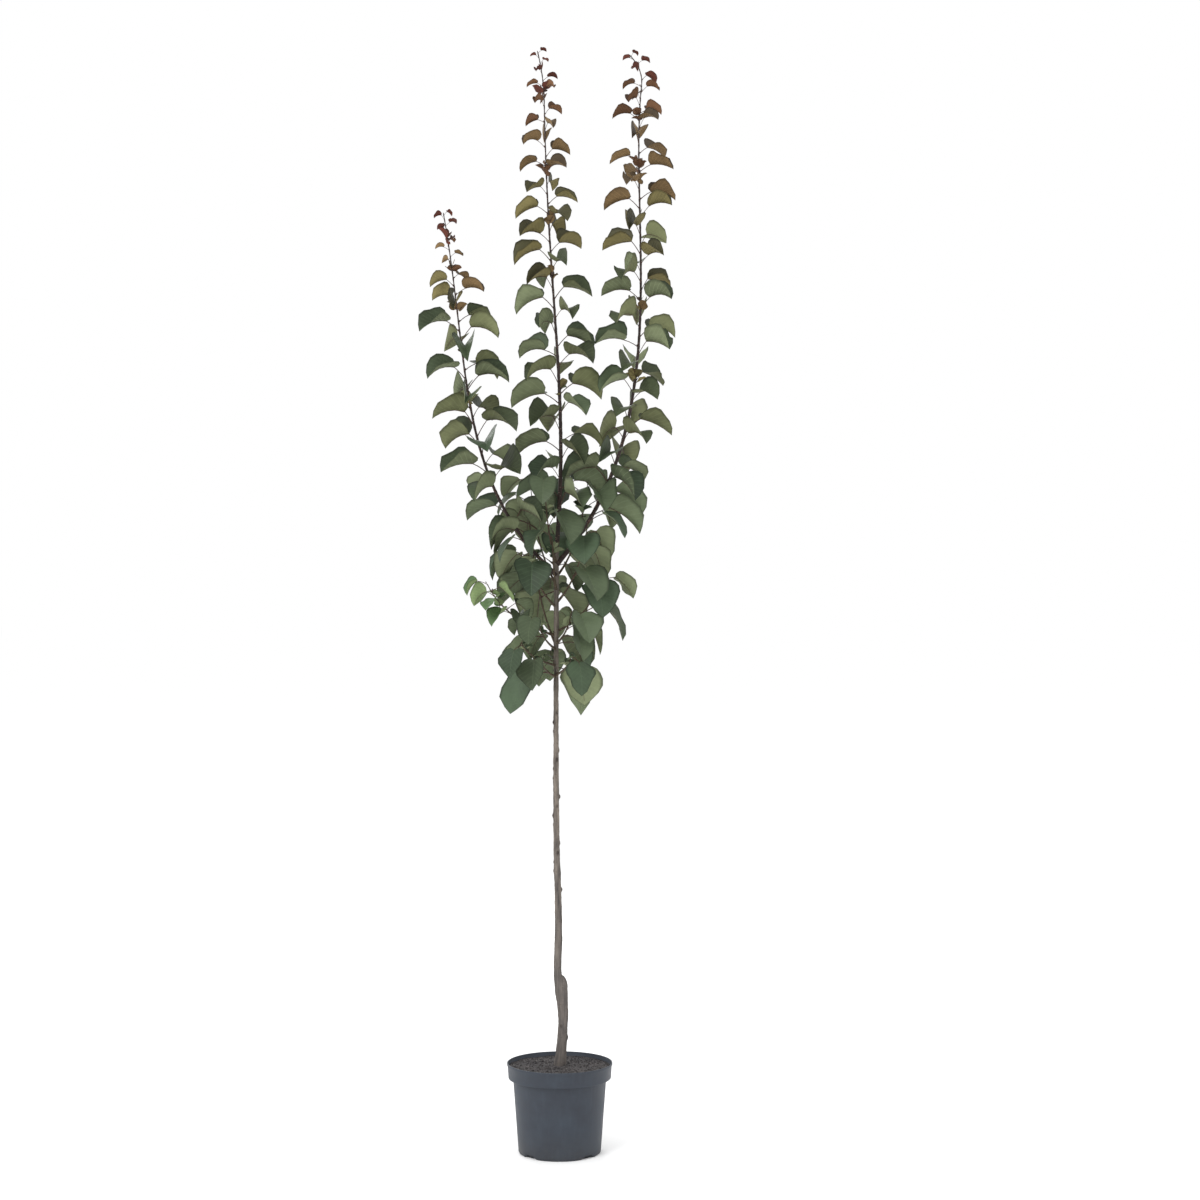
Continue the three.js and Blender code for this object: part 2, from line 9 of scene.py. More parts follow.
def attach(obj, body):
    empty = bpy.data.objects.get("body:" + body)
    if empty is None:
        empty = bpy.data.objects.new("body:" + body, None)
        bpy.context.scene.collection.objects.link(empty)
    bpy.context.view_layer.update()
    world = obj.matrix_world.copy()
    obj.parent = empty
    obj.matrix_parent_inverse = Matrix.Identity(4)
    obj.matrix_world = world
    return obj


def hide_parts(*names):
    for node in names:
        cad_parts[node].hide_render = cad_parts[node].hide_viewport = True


# A young half-standard apricot tree in a nursery pot. Lengths are in millimetres, -Y is the front.
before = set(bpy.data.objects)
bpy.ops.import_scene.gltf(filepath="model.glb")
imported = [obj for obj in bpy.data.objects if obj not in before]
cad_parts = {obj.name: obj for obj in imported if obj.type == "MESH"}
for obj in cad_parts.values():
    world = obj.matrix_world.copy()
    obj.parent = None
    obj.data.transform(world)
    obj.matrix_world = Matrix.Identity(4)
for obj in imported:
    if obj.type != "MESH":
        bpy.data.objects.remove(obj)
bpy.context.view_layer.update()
mm = 0.001
up = np.array([0.0, 0.0, 1.0])
scene = bpy.context.scene


def mix(a, b, share):
    return a + (b - a) * share


def clamp(value, low=0.0, high=1.0):
    return max(low, min(high, value))


def ease(share):
    return share * share * (3 - 2 * share)


chanceRule = {"seedStep": 12.9898, "drawStep": 78.233, "spread": 43758.5453}


def chance(seed, draw):  # repeatable, from 0 to 1
    wave = math.sin(seed * chanceRule["seedStep"] + draw * chanceRule["drawStep"]) * chanceRule["spread"]
    return wave - math.floor(wave)


def either(seed, draw):  # repeatable, from -1 to 1
    return 2 * chance(seed, draw) - 1


def compass(turn):  # level direction: 0 is to the right, a quarter turn is to the back
    return np.array([math.cos(turn), math.sin(turn), 0])


# Camera, floor and light

photoView = {
    "place": (95.4, -5150, 1307),  # the lens, level with the lower leaves and looking straight ahead
    "fieldOfView": 30.87,
    "farthest": 400000,
}
studio = {
    "floorSize": 160000, "floorColour": "#ffffff", "skyColour": "#ffffff", "skyStrength": 1.0,
    "aim": (0, 0, 1500),  # where the lights point
    "lights": [  # name, place, size, power
        ("keyLight", (-2600, -3600, 4600), 2600, 150),
        ("fillLight", (3400, -3000, 2200), 2600, 20),
        ("backLight", (-1200, 4200, 2800), 2600, 80),
    ],
}


def linear(code):  # sRGB hex to linear
    parts = [int(code[i:i + 2], 16) / 255 for i in (1, 3, 5)]
    return tuple(p / 12.92 if p <= 0.04045 else ((p + 0.055) / 1.055) ** 2.4 for p in parts) + (1.0,)


def perMetre(size):  # texture scale whose features are about this many millimetres
    return 1000 / size


def addNode(tree, kind, inputs=None, stops=(), **settings):  # an input given a node takes its first output
    node = tree.nodes.new(kind)
    for name, value in settings.items():
        setattr(node, name, value)
    for k, (position, colour) in enumerate(stops):  # of a colour ramp
        node.color_ramp.elements[k].position = position
        node.color_ramp.elements[k].color = colour
    for socket, value in (inputs or {}).items():
        if isinstance(value, bpy.types.Node):
            value = next(output for output in value.outputs if output.enabled)
        if isinstance(value, bpy.types.NodeSocket):
            tree.links.new(value, node.inputs[socket])
        else:
            node.inputs[socket].default_value = value
    return node


def newMaterial(name):
    material = bpy.data.materials.new(name)
    material.use_nodes = True
    material.node_tree.nodes.clear()
    return material, material.node_tree


def setCamera():
    camera = bpy.data.objects.new("photoCamera", bpy.data.cameras.new("photoCamera"))
    camera.location = Vector(photoView["place"]) * mm
    camera.rotation_euler = (math.pi / 2, 0, 0)
    camera.data.angle = math.radians(photoView["fieldOfView"])
    camera.data.clip_end = photoView["farthest"] * mm
    scene.collection.objects.link(camera)
    scene.camera = camera


def areaLight(name, place, size, power):
    light = bpy.data.objects.new(name, bpy.data.lights.new(name, "AREA"))
    light.data.size = size * mm
    light.data.energy = power
    light.location = Vector(place) * mm
    way = Vector(studio["aim"]) * mm - light.location
    light.rotation_euler = way.to_track_quat("-Z", "Y").to_euler()
    scene.collection.objects.link(light)


def setStage():
    bm = bmesh.new()
    bmesh.ops.create_grid(bm, x_segments=1, y_segments=1, size=studio["floorSize"] * mm / 2)
    mesh = bpy.data.meshes.new("floor")
    bm.to_mesh(mesh)
    bm.free()
    material, tree = newMaterial("paleFloor")
    shader = addNode(tree, "ShaderNodeBsdfPrincipled", {
        "Base Color": linear(studio["floorColour"]), "Roughness": 1.0, "Specular IOR Level": 0.0})
    addNode(tree, "ShaderNodeOutputMaterial", {"Surface": shader})
    mesh.materials.append(material)
    floor = bpy.data.objects.new("floor", mesh)
    scene.collection.objects.link(floor)

    world = bpy.data.worlds.new("studio")
    world.use_nodes = True
    sky = world.node_tree.nodes["Background"]
    sky.inputs["Color"].default_value = linear(studio["skyColour"])
    sky.inputs["Strength"].default_value = studio["skyStrength"]
    scene.world = world
    scene.view_settings.view_transform = "Standard"
    for light in studio["lights"]:
        areaLight(*light)


setCamera()
setStage()
print("camera, floor and light set")


def addPiece(name, mesh, materials, nodes):
    piece = bpy.data.objects.new(name, mesh)
    scene.collection.objects.link(piece)
    for material in materials:
        mesh.materials.append(material)
    mesh.shade_smooth()
    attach(piece, "root")
    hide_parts(*nodes)
    return piece


def meshFrom(bm, name):
    bmesh.ops.scale(bm, vec=(mm, mm, mm), verts=bm.verts)
    mesh = bpy.data.meshes.new(name)
    bm.to_mesh(mesh)
    bm.free()
    return mesh


# Pot: thin moulded polypropylene, dull and slightly blue, rubbed in places and dusty at the foot

pot = {
    "height": 212, "rimRadius": 125, "wall": 2.4,
    "collarDepth": 37, "collarFootRadius": 121.5,
    "bodyTopRadius": 110.5, "footRadius": 97.5, "footRound": 4, "footChamfer": 1.2,
    "wallRows": (14, 60, 120),  # heights of the rings that cut the wall into bands
    "archCount": 4, "archWidth": 36, "archHeight": 8, "archDepth": 9,
    "archFlat": 1.6, "archSlope": 2, "archFade": 14,
    "beadHeight": 5, "beadProud": 1, "beadStep": 1.5,
    "ledgeRound": 2.2, "rimRound": 1.0, "roundSegments": 3,
    "steps": 144,
}
potLook = {  # sizes in millimetres
    "tones": ((0.3, "#2f333b"), (0.75, "#394049")), "cloudSize": 60, "cloudLow": 0.3, "cloudHigh": 0.7,
    "rubColour": "#454c56", "rubSize": 9, "rubLong": 0.12, "rubFrom": 0.52, "rubTo": 0.8, "rubbed": 0.22,
    "dustColour": "#434240", "dustSize": 14, "dustHeight": 70, "dusty": 0.55,
    "grainSize": 1.6, "grainDeep": 0.6, "grainShow": 0.12,
    "roughLeast": 0.42, "roughMost": 0.6, "gloss": 0.28, "ior": 1.49,
}


def potMaterial():
    # polypropylene moulded in a slightly rough tool: soft highlights, a chalky bloom where it was rubbed
    look = potLook
    material, tree = newMaterial("mouldedPolypropylene")
    place = addNode(tree, "ShaderNodeTexCoord").outputs["Object"]
    cloud = addNode(tree, "ShaderNodeTexNoise", {
        "Vector": place, "Scale": perMetre(look["cloudSize"]), "Detail": 5.0, "Roughness": 0.6})
    skin = addNode(tree, "ShaderNodeValToRGB", {"Fac": cloud},
                   stops=[(at, linear(colour)) for at, colour in look["tones"]])
    drawn = addNode(tree, "ShaderNodeMapping", {"Vector": place, "Scale": (1, 1, look["rubLong"])})
    rubs = addNode(tree, "ShaderNodeTexNoise", {
        "Vector": drawn, "Scale": perMetre(look["rubSize"]), "Detail": 3.0})
    bloom = addNode(tree, "ShaderNodeMapRange", {
        "Value": rubs, "From Min": look["rubFrom"], "From Max": look["rubTo"], "To Max": look["rubbed"]})
    spot = addNode(tree, "ShaderNodeSeparateXYZ", {"Vector": place})
    low = addNode(tree, "ShaderNodeMapRange", {
        "Value": spot.outputs["Z"], "From Max": look["dustHeight"] * mm, "To Min": look["dusty"],
        "To Max": 0.0})
    specks = addNode(tree, "ShaderNodeTexNoise", {
        "Vector": place, "Scale": perMetre(look["dustSize"]), "Detail": 6.0})
    dust = addNode(tree, "ShaderNodeMath", {0: low, 1: specks}, operation="MULTIPLY")
    for share, colour in ((bloom, look["rubColour"]), (dust, look["dustColour"])):
        skin = addNode(tree, "ShaderNodeMix", {"Factor": share, 6: skin, 7: linear(colour)},
                       data_type="RGBA")
    texture = addNode(tree, "ShaderNodeTexNoise", {
        "Vector": place, "Scale": perMetre(look["grainSize"]), "Detail": 2.0})
    relief = addNode(tree, "ShaderNodeBump", {
        "Height": texture, "Strength": look["grainShow"], "Distance": look["grainDeep"] * mm})
    dull = addNode(tree, "ShaderNodeMapRange", {
        "Value": cloud, "From Min": look["cloudLow"], "From Max": look["cloudHigh"],
        "To Min": look["roughLeast"], "To Max": look["roughMost"]})
    shader = addNode(tree, "ShaderNodeBsdfPrincipled", {
        "Base Color": skin, "Roughness": dull, "IOR": look["ior"],
        "Specular IOR Level": look["gloss"], "Normal": relief})
    addNode(tree, "ShaderNodeOutputMaterial", {"Surface": shader})
    return material


seam = 0.001  # points nearer to each other than this are joined
onLine = 0.1  # a point nearer to a ring than this lies on it


def spinProfile(bm, profile, steps):
    points = [bm.verts.new((radius, 0, height)) for radius, height in profile]
    edges = [bm.edges.new(pair) for pair in zip(points, points[1:])]
    bmesh.ops.spin(bm, geom=points + edges, axis=(0, 0, 1), cent=(0, 0, 0), angle=2 * math.pi, steps=steps,
                   use_merge=True)
    bmesh.ops.remove_doubles(bm, verts=bm.verts, dist=seam)
    bmesh.ops.recalc_face_normals(bm, faces=bm.faces)


def ringEdges(bm, radius, height):  # edges of a turned shape that run round at this radius and height
    def onRing(vert):
        away = abs(math.hypot(vert.co.x, vert.co.y) - radius)
        return away < onLine and abs(vert.co.z - height) < onLine
    return [edge for edge in bm.edges if onRing(edge.verts[0]) and onRing(edge.verts[1])]


def makePot():
    p = pot
    ledge = p["height"] - p["collarDepth"]
    inside = p["archDepth"] + 1

    def bodyRadius(height):
        return mix(p["footRadius"], p["bodyTopRadius"], height / ledge)

    rimOut = (p["rimRadius"], p["height"])
    rimIn = (p["rimRadius"] - p["wall"], p["height"])
    ledgeOut = (p["collarFootRadius"], ledge)
    ledgeIn = (p["bodyTopRadius"], ledge)
    bead = p["height"] - p["beadHeight"]
    beadIn = mix(p["collarFootRadius"], p["rimRadius"], (bead - ledge) / p["collarDepth"]) - p["beadProud"]
    outline = [
        (0, 0),
        (p["footRadius"] - inside, 0),
        (p["footRadius"] - p["archDepth"], 0),
        (p["footRadius"] - p["footRound"], 0),
        (p["footRadius"] - p["footChamfer"], p["footChamfer"]),
        (bodyRadius(p["footRound"]), p["footRound"]),
        *[(bodyRadius(height), height) for height in p["wallRows"]],
        ledgeIn,
        ledgeOut,
        (beadIn, bead - p["beadStep"]),
        (p["rimRadius"], bead),
        rimOut,
        rimIn,
        (p["collarFootRadius"] - p["wall"], ledge + p["wall"]),
        (p["bodyTopRadius"] - p["wall"], ledge + p["wall"]),
        (p["footRadius"] - p["wall"], p["archHeight"] + 2 * p["wall"]),
        (0, p["archHeight"] + 2 * p["wall"]),
    ]
    bm = bmesh.new()
    spinProfile(bm, outline, p["steps"])
    for corners, size in (((ledgeOut, ledgeIn), p["ledgeRound"]), ((rimOut, rimIn), p["rimRound"])):
        edges = [edge for corner in corners for edge in ringEdges(bm, *corner)]
        bmesh.ops.bevel(bm, geom=edges, offset=size, offset_type="OFFSET", affect="EDGES",
                        segments=p["roundSegments"], profile=0.5, material=-1)
    # the drain arches lift the foot's edge
    halfTurn = p["archWidth"] / 2 / p["footRadius"]
    pitch = 2 * math.pi / p["archCount"]
    for vert in bm.verts:
        radius = math.hypot(vert.co.x, vert.co.y)
        if vert.co.z > p["archHeight"] - 1 or radius < p["footRadius"] - p["archDepth"] - onLine:
            continue
        off = (math.atan2(vert.co.y, vert.co.x) % pitch) - pitch / 2
        arch = clamp(p["archFlat"] * (1 - (off / halfTurn) ** 2))
        deep = clamp((radius - p["footRadius"] + p["archDepth"]) / p["archSlope"])
        vert.co.z += p["archHeight"] * arch * deep * (1 - vert.co.z / p["archFade"])
    piece = addPiece("nurseryPot", meshFrom(bm, "nurseryPot"), [potMaterial()], ["pot"])
    print("pot made:", len(piece.data.polygons), "faces")


makePot()


# Compost: dark crumbs of bark and peat, with a few pale grains of grit

compost = {
    "belowRim": 10, "rise": 4, "crownRadius": 24, "gap": 0.3,
    "steps": 120, "rings": 26, "ringLift": 0.5,
    "lumps": 1.6, "lumpSize": 16, "lumpSoftness": 0.9, "seed": 71,
}
compostLook = {
    "tones": ((0.08, "#313032"), (0.5, "#575352")), "crumbSize": 3, "patchSize": 40,
    "crumbDeep": 2, "crumbShow": 0.6, "rough": 0.95, "gloss": 0.2,
}
gritLook = {"tones": ((0, "#7d7871"), (1, "#b9b5ad")), "speckSize": 2, "rough": 0.9}
crumb = {"count": 1500, "least": 1.2, "most": 5, "seed": 71}
grit = {"count": 34, "least": 1.6, "most": 3.4, "seed": 971}
grain = {"edgeClear": 4, "mostlySmall": 3, "proud": 0.3, "shape": (1.4, 1, 0.7), "tumble": 6, "tilt": 0.5}
octaves = {"step": 2.0, "count": 4}  # how each finer layer of a relief follows the last


def compostMaterial():
    # moist peat and bark crumbs: nearly black where wet, brown where the top has dried
    look = compostLook
    material, tree = newMaterial("moistCompost")
    place = addNode(tree, "ShaderNodeTexCoord").outputs["Object"]
    crumbs = addNode(tree, "ShaderNodeTexVoronoi", {"Vector": place, "Scale": perMetre(look["crumbSize"])})
    patches = addNode(tree, "ShaderNodeTexNoise", {
        "Vector": place, "Scale": perMetre(look["patchSize"]), "Detail": 4.0})
    blend = addNode(tree, "ShaderNodeMath", {0: crumbs, 1: patches}, operation="MULTIPLY")
    tone = addNode(tree, "ShaderNodeValToRGB", {"Fac": blend},
                   stops=[(at, linear(colour)) for at, colour in look["tones"]])
    relief = addNode(tree, "ShaderNodeBump", {
        "Height": crumbs, "Strength": look["crumbShow"], "Distance": look["crumbDeep"] * mm})
    shader = addNode(tree, "ShaderNodeBsdfPrincipled", {
        "Base Color": tone, "Roughness": look["rough"], "Specular IOR Level": look["gloss"],
        "Normal": relief})
    addNode(tree, "ShaderNodeOutputMaterial", {"Surface": shader})
    return material


def gritMaterial():
    # pale horticultural grit, dusty and matt
    look = gritLook
    material, tree = newMaterial("paleGrit")
    place = addNode(tree, "ShaderNodeTexCoord").outputs["Object"]
    speck = addNode(tree, "ShaderNodeTexNoise", {
        "Vector": place, "Scale": perMetre(look["speckSize"]), "Detail": 2.0})
    tone = addNode(tree, "ShaderNodeValToRGB", {"Fac": speck},
                   stops=[(at, linear(colour)) for at, colour in look["tones"]])
    shader = addNode(tree, "ShaderNodeBsdfPrincipled", {"Base Color": tone, "Roughness": look["rough"]})
    addNode(tree, "ShaderNodeOutputMaterial", {"Surface": shader})
    return material


def compostHeight(x, y):  # top of the compost, lumpy all over
    c = compost
    edge = pot["rimRadius"] - pot["wall"]
    slope = clamp((edge - math.hypot(x, y)) / (edge - c["crownRadius"]))
    spot = Vector((x, y, c["seed"])) / c["lumpSize"]
    lump = noise.fractal(spot, c["lumpSoftness"], octaves["step"], octaves["count"])
    return pot["height"] - c["belowRim"] + c["rise"] * slope + c["lumps"] * lump


def makeCompost():
    c = compost
    top = pot["height"] - c["belowRim"]
    inside = pot["wall"] + c["gap"]
    ledge = pot["height"] - pot["collarDepth"] + inside
    edge = mix(pot["collarFootRadius"], pot["rimRadius"], (top - ledge) / pot["collarDepth"]) - inside
    foot = pot["archHeight"] + 2 * pot["wall"] + c["gap"]
    outline = [
        (0, foot),
        (pot["footRadius"] - inside, foot),
        (pot["bodyTopRadius"] - inside, ledge),
        (pot["collarFootRadius"] - inside, ledge),
        (edge, top),
    ]
    outline += [(edge * (1 - k / c["rings"]), top + c["ringLift"]) for k in range(1, c["rings"] + 1)]
    bm = bmesh.new()
    spinProfile(bm, outline, c["steps"])
    for vert in bm.verts:
        if vert.co.z > top - 1:
            vert.co.z = compostHeight(vert.co.x, vert.co.y)
    piece = addPiece("compostBed", meshFrom(bm, "compostBed"), [compostMaterial()], ["compost"])

    def scatter(name, kind, material):
        bm = bmesh.new()
        seed = kind["seed"]
        for k in range(kind["count"]):
            radius = (edge - grain["edgeClear"]) * math.sqrt(chance(seed + k, 1))
            turn = 2 * math.pi * chance(seed + k, 2)
            size = mix(kind["least"], kind["most"], chance(seed + k, 3) ** grain["mostlySmall"]) / 2
            x, y = radius * math.cos(turn), radius * math.sin(turn)
            place = Matrix.Translation((x, y, compostHeight(x, y) + size * grain["proud"]))
            axis = (chance(seed, k), grain["tilt"], chance(k, seed))
            turned = Matrix.Rotation(grain["tumble"] * chance(seed + k, 4), 4, axis)
            flat = Matrix.Diagonal([size * part for part in grain["shape"]] + [1])
            bmesh.ops.create_icosphere(bm, subdivisions=1, radius=1, matrix=place @ turned @ flat)
        scattered = addPiece(name, meshFrom(bm, name), [material], ["compost"])
        for face in scattered.data.polygons:
            face.use_smooth = False

    scatter("compostCrumbs", crumb, compostMaterial())
    scatter("gritGrains", grit, gritMaterial())
    print("compost made:", len(piece.data.polygons), "faces and", crumb["count"], "crumbs")


makeCompost()


# Growth: where the limbs run

stock = {"foot": 201, "ground": 206.3, "graftFrom": 330, "top": 418, "lean": 13, "topLean": 6,
         "radius": 11.5, "flare": 4, "flareHeight": 26, "dome": 30}
graft = {"from": 285, "over": 65, "foot": 4, "softness": 8}  # how the stem rises out of the stock
stem = {
    "graft": 340, "fork": 1425, "offset": -7.7, "bow": 6, "room": 7,
    "course": [  # height above the graft, bow, radius
        (0, 2, 10.4), (80, 0.5, 9.6), (170, 0.8, 9), (400, 0, 7.3), (680, -0.17, 6), (1085, 0, 5.8),
    ],
}
leafTurn = math.radians(144)
leaders = [  # leaves grow from tipLeaf to full over about the growing length, later where onset is higher
    {"name": "centre", "from": (-7.7, 0, 1425.3), "rise": (26, 20, 1836), "bow": (-36, -20, 2022),
     "tip": (-38, 0, 2608), "nod": -15, "radius": 5.4, "boughShare": 0.06, "firstTurn": 18, "seed": 11,
     "tipLeaf": 13, "growing": 480, "onset": 1, "bronzeReach": 1.0,
     "tuftHeights": (2515, 2318, 2192, 2066, 1792)},
    {"name": "left", "from": (-7.7, 0, 1366), "rise": (-243, -40, 1580), "bow": (-206, -85, 1851),
     "tip": (-268, -110, 2205), "nod": 0, "radius": 4.6, "boughShare": 0.1, "firstTurn": 54, "seed": 23,
     "tipLeaf": 20, "growing": 240, "onset": 3, "bronzeReach": 0.47,
     "tuftHeights": (2140, 2075, 1985, 1890, 1765)},
    {"name": "right", "from": (-7.7, 0, 1392), "rise": (307, 45, 1741), "bow": (140, 90, 2287),
     "tip": (207, 120, 2629), "nod": -40, "radius": 5.2, "boughShare": 0.08, "firstTurn": 30, "seed": 37,
     "tipLeaf": 13, "growing": 420, "onset": 0.7, "bronzeReach": 1.1,
     "tuftHeights": (2470, 2352, 2318, 2010, 1830)},
]
leaderShape = {"nodFrom": 0.93, "tipRadius": 0.9, "taper": 1.1, "leaflessFoot": 0.01}
shoots = [  # name, height on the stem, compass turn, reach, rise, leaves, level of habit
    ("left_riser", 1200, 155, 75, 340, 12, 0.9), ("left_young", 1222, 192, 165, 122, 8, 0.6),
    ("right", 1232, 5, 105, 120, 7, 1), ("right_upper", 1300, 340, 80, 190, 7, 1),
    ("front", 1330, 262, 60, 120, 6, 1.2), ("front_left", 1290, 215, 85, 150, 7, 1),
    ("back", 1268, 95, 105, 200, 8, 1), ("back_right", 1362, 42, 100, 230, 7, 0.9),
    ("back_left", 1344, 132, 95, 240, 7, 0.9), ("fork_front", 1396, 250, 75, 170, 6, 0.9),
    ("low_left", 1125, 240, 75, 45, 3, 2), ("low_right", 1130, 300, 75, 45, 3, 1.9),
    ("low_front", 1152, 228, 115, 50, 2, 2), ("low_back", 1136, 100, 50, 50, 3, 1.9),
    ("spur_left", 1190, 240, 85, 70, 4, 1.5), ("spur_right", 1204, 300, 72, 70, 4, 1.5),
]
shootShape = {"seed": 211, "radius": 2.6, "tipRadius": 1, "elbowReach": 0.75, "elbowRise": 0.3,
              "bare": 0.3, "tipLeaf": 0.68}


def stemX(height):  # the stem's sideways place at a height, smooth through its bends
    heights = np.array([stem["graft"] + above for above, bow, radius in stem["course"]], float)
    places = np.array([stem["offset"] + bow * stem["bow"] for above, bow, radius in stem["course"]])
    slopes = np.gradient(places, heights)
    height = clamp(height, heights[0], heights[-1])
    k = int(clamp(np.searchsorted(heights, height) - 1, 0, len(heights) - 2))
    span = heights[k + 1] - heights[k]
    s = (height - heights[k]) / span
    start, end = (1 + 2 * s) * (1 - s) ** 2 * places[k], ease(s) * places[k + 1]
    return start + end + span * (s * (1 - s) ** 2 * slopes[k] - s * s * (1 - s) * slopes[k + 1])


def stemAt(height):
    return np.array([stemX(height), 0, height])


def stemRadius(height):
    above, bows, radii = zip(*stem["course"])
    return float(np.interp(height - stem["graft"], above, radii))


limbSamples = 201  # points along a limb from which its length is measured


class Limb:
    def __init__(self, name, pointAt, radiusAt):
        self.name, self.pointAt, self.radiusAt = name, pointAt, radiusAt
        self.shares = np.linspace(0, 1, limbSamples)
        steps = np.diff([pointAt(share) for share in self.shares], axis=0)
        self.lengths = np.concatenate([[0], np.cumsum(np.linalg.norm(steps, axis=1))])
        self.whole = self.lengths[-1]

    def shareAt(self, length):
        return float(np.interp(length, self.lengths, self.shares))

    def shareAtHeight(self, height):
        heights = [self.pointAt(share)[2] for share in self.shares]
        return float(np.interp(height, heights, self.shares))


def bezier(corners, share):
    points = [np.array(corner, float) for corner in corners]
    while len(points) > 1:
        points = [mix(a, b, share) for a, b in zip(points, points[1:])]
    return points[0]


def leaderLimb(leader):
    corners = [leader[key] for key in ("from", "rise", "bow", "tip")]

    def pointAt(share):
        past = max(0.0, (share - leaderShape["nodFrom"]) / (1 - leaderShape["nodFrom"]))
        return bezier(corners, share) + np.array([leader["nod"] * past * past, 0, 0])

    def radiusAt(share):
        return mix(leaderShape["tipRadius"], leader["radius"], (1 - share) ** leaderShape["taper"])

    return Limb(leader["name"] + "_leader_foliage", pointAt, radiusAt)


def shootLimb(name, height, turn, reach, rise):
    start, away = stemAt(height), compass(math.radians(turn))
    elbow = start + away * reach * shootShape["elbowReach"] + up * rise * shootShape["elbowRise"]
    corners = [start, elbow, start + away * reach + up * rise]
    return Limb(
        name + "_shoot_foliage",
        lambda share: bezier(corners, share),
        lambda share: mix(shootShape["radius"], shootShape["tipRadius"], share),
    )


leaderLimbs = [leaderLimb(leader) for leader in leaders]
shootLimbs = [shootLimb(*shoot[:5]) for shoot in shoots]
print("limbs laid out:", len(leaderLimbs), "leaders and", len(shootLimbs), "shoots")


# Growth: how the leaves are held

leafRule = {
    "full": 86, "shade": 108, "young": 62, "vary": 0.1, "turnVary": 0.6,
    "shadeFrom": 650, "shadeOver": 500, "leaderShade": 0.3,
    "internodeTip": 12, "internodeFull": 22.5, "internodeOver": 250, "bareTip": 6,
    "halfWidth": 0.5, "swell": 0.6, "round": 0.62, "lobe": 0.06, "lobeFade": 3,
    "petioleShare": 0.46, "petioleLeast": 5, "rollVary": 2,
}
habits = [  # degrees: sunlit leaves, shade leaves, hanging leaves
    {"rise": 42, "lift": 8, "droop": -46, "fold": 52, "vary": 16},
    {"rise": 26, "lift": -36, "droop": -82, "fold": 20, "vary": 14},
    {"rise": -12, "lift": -58, "droop": -86, "fold": 10, "vary": 12},
]
room = {
    "tries": 9, "tryTurn": math.radians(18), "leafClear": 0.125, "limbClear": 8, "limbSpacing": 8,
    "looseLeafClear": 0.06, "looseLimbClear": 3, "looseAbove": 1330,
    "near": 2, "petioleSpots": (0.3, 0.55, 0.8), "bladeRows": 11, "bladeColumns": 9,
    "laneHalf": 13, "laneTop": 1440,  # no leaf hangs before the stem
}
spotRows, spotShares = np.meshgrid(
    np.linspace(0, 1, room["bladeRows"]), np.linspace(-1, 1, room["bladeColumns"]), indexing="ij")
shadeAge = 1000  # leaves in the shade are past every tint of the tips


def outlineAt(v):  # the blade's width from its foot at 0 to its tip at 1, as a share of the widest
    return np.sin(np.pi * v ** leafRule["swell"]) ** leafRule["round"]


class Leaf:
    def __init__(self, root, turn, length, habit, seed, petiole=None):
        def sway(draw):
            return habit["vary"] * either(seed, draw)
        self.root, self.length, self.seed = root, length, seed
        self.out = compass(turn)
        self.level = np.array([-math.sin(turn), math.cos(turn), 0])
        self.petiole = petiole or leafRule["petioleShare"] * length + leafRule["petioleLeast"]
        rise = math.radians(habit["rise"] + sway(1))
        self.foot = root + self.petiole * (math.cos(rise) * self.out + math.sin(rise) * up)
        self.lift = math.radians(habit["lift"] + sway(2))
        self.bend = math.radians(habit["droop"] + sway(3)) - self.lift
        self.fold = math.radians(habit["fold"] + sway(4))
        self.roll = math.radians(leafRule["rollVary"] * sway(5))

    def midrib(self, v):
        slope = self.lift + self.bend * np.asarray(v)[..., None]
        reach = (np.sin(slope) - math.sin(self.lift)) / self.bend
        climb = (math.cos(self.lift) - np.cos(slope)) / self.bend
        return self.foot + self.length * (reach * self.out + climb * up)

    def axes(self, v):  # along the midrib, across the blade and square to its upper face
        slope = self.lift + self.bend * np.asarray(v)[..., None]
        along = np.cos(slope) * self.out + np.sin(slope) * up
        square = np.cos(slope) * up - np.sin(slope) * self.out
        across = math.cos(self.roll) * self.level + math.sin(self.roll) * square
        face = math.cos(self.roll) * square - math.sin(self.roll) * self.level
        return along, across, face

    def halfWide(self, v):
        return self.length * leafRule["halfWidth"] * outlineAt(v)

    def lobe(self, v, share):  # how far the blade reaches back beside its stalk
        return (self.length * leafRule["lobe"] * np.abs(share) * (1 - v) ** leafRule["lobeFade"])[..., None]

    def blade(self, v, share):
        along, across, face = self.axes(v)
        wide = (self.halfWide(v) * share)[..., None]
        flat = self.midrib(v) + across * wide * math.cos(self.fold) - along * self.lobe(v, share)
        return flat + face * np.abs(wide) * math.sin(self.fold)

    def spots(self):
        stalk = [mix(self.root, self.foot, share) for share in room["petioleSpots"]]
        return np.vstack([stalk, self.blade(spotRows, spotShares).reshape(-1, 3)])


limbAt, limbRadius, limbOwner = [], [], []
grown = []  # every leaf placed so far
leftOut = []


def addLimbSpots(limb, radiusAt):
    count = math.ceil(limb.whole / room["limbSpacing"])
    for k in range(count + 1):
        limbAt.append(limb.pointAt(k / count))
        limbRadius.append(radiusAt(k / count))
        limbOwner.append(limb.name)


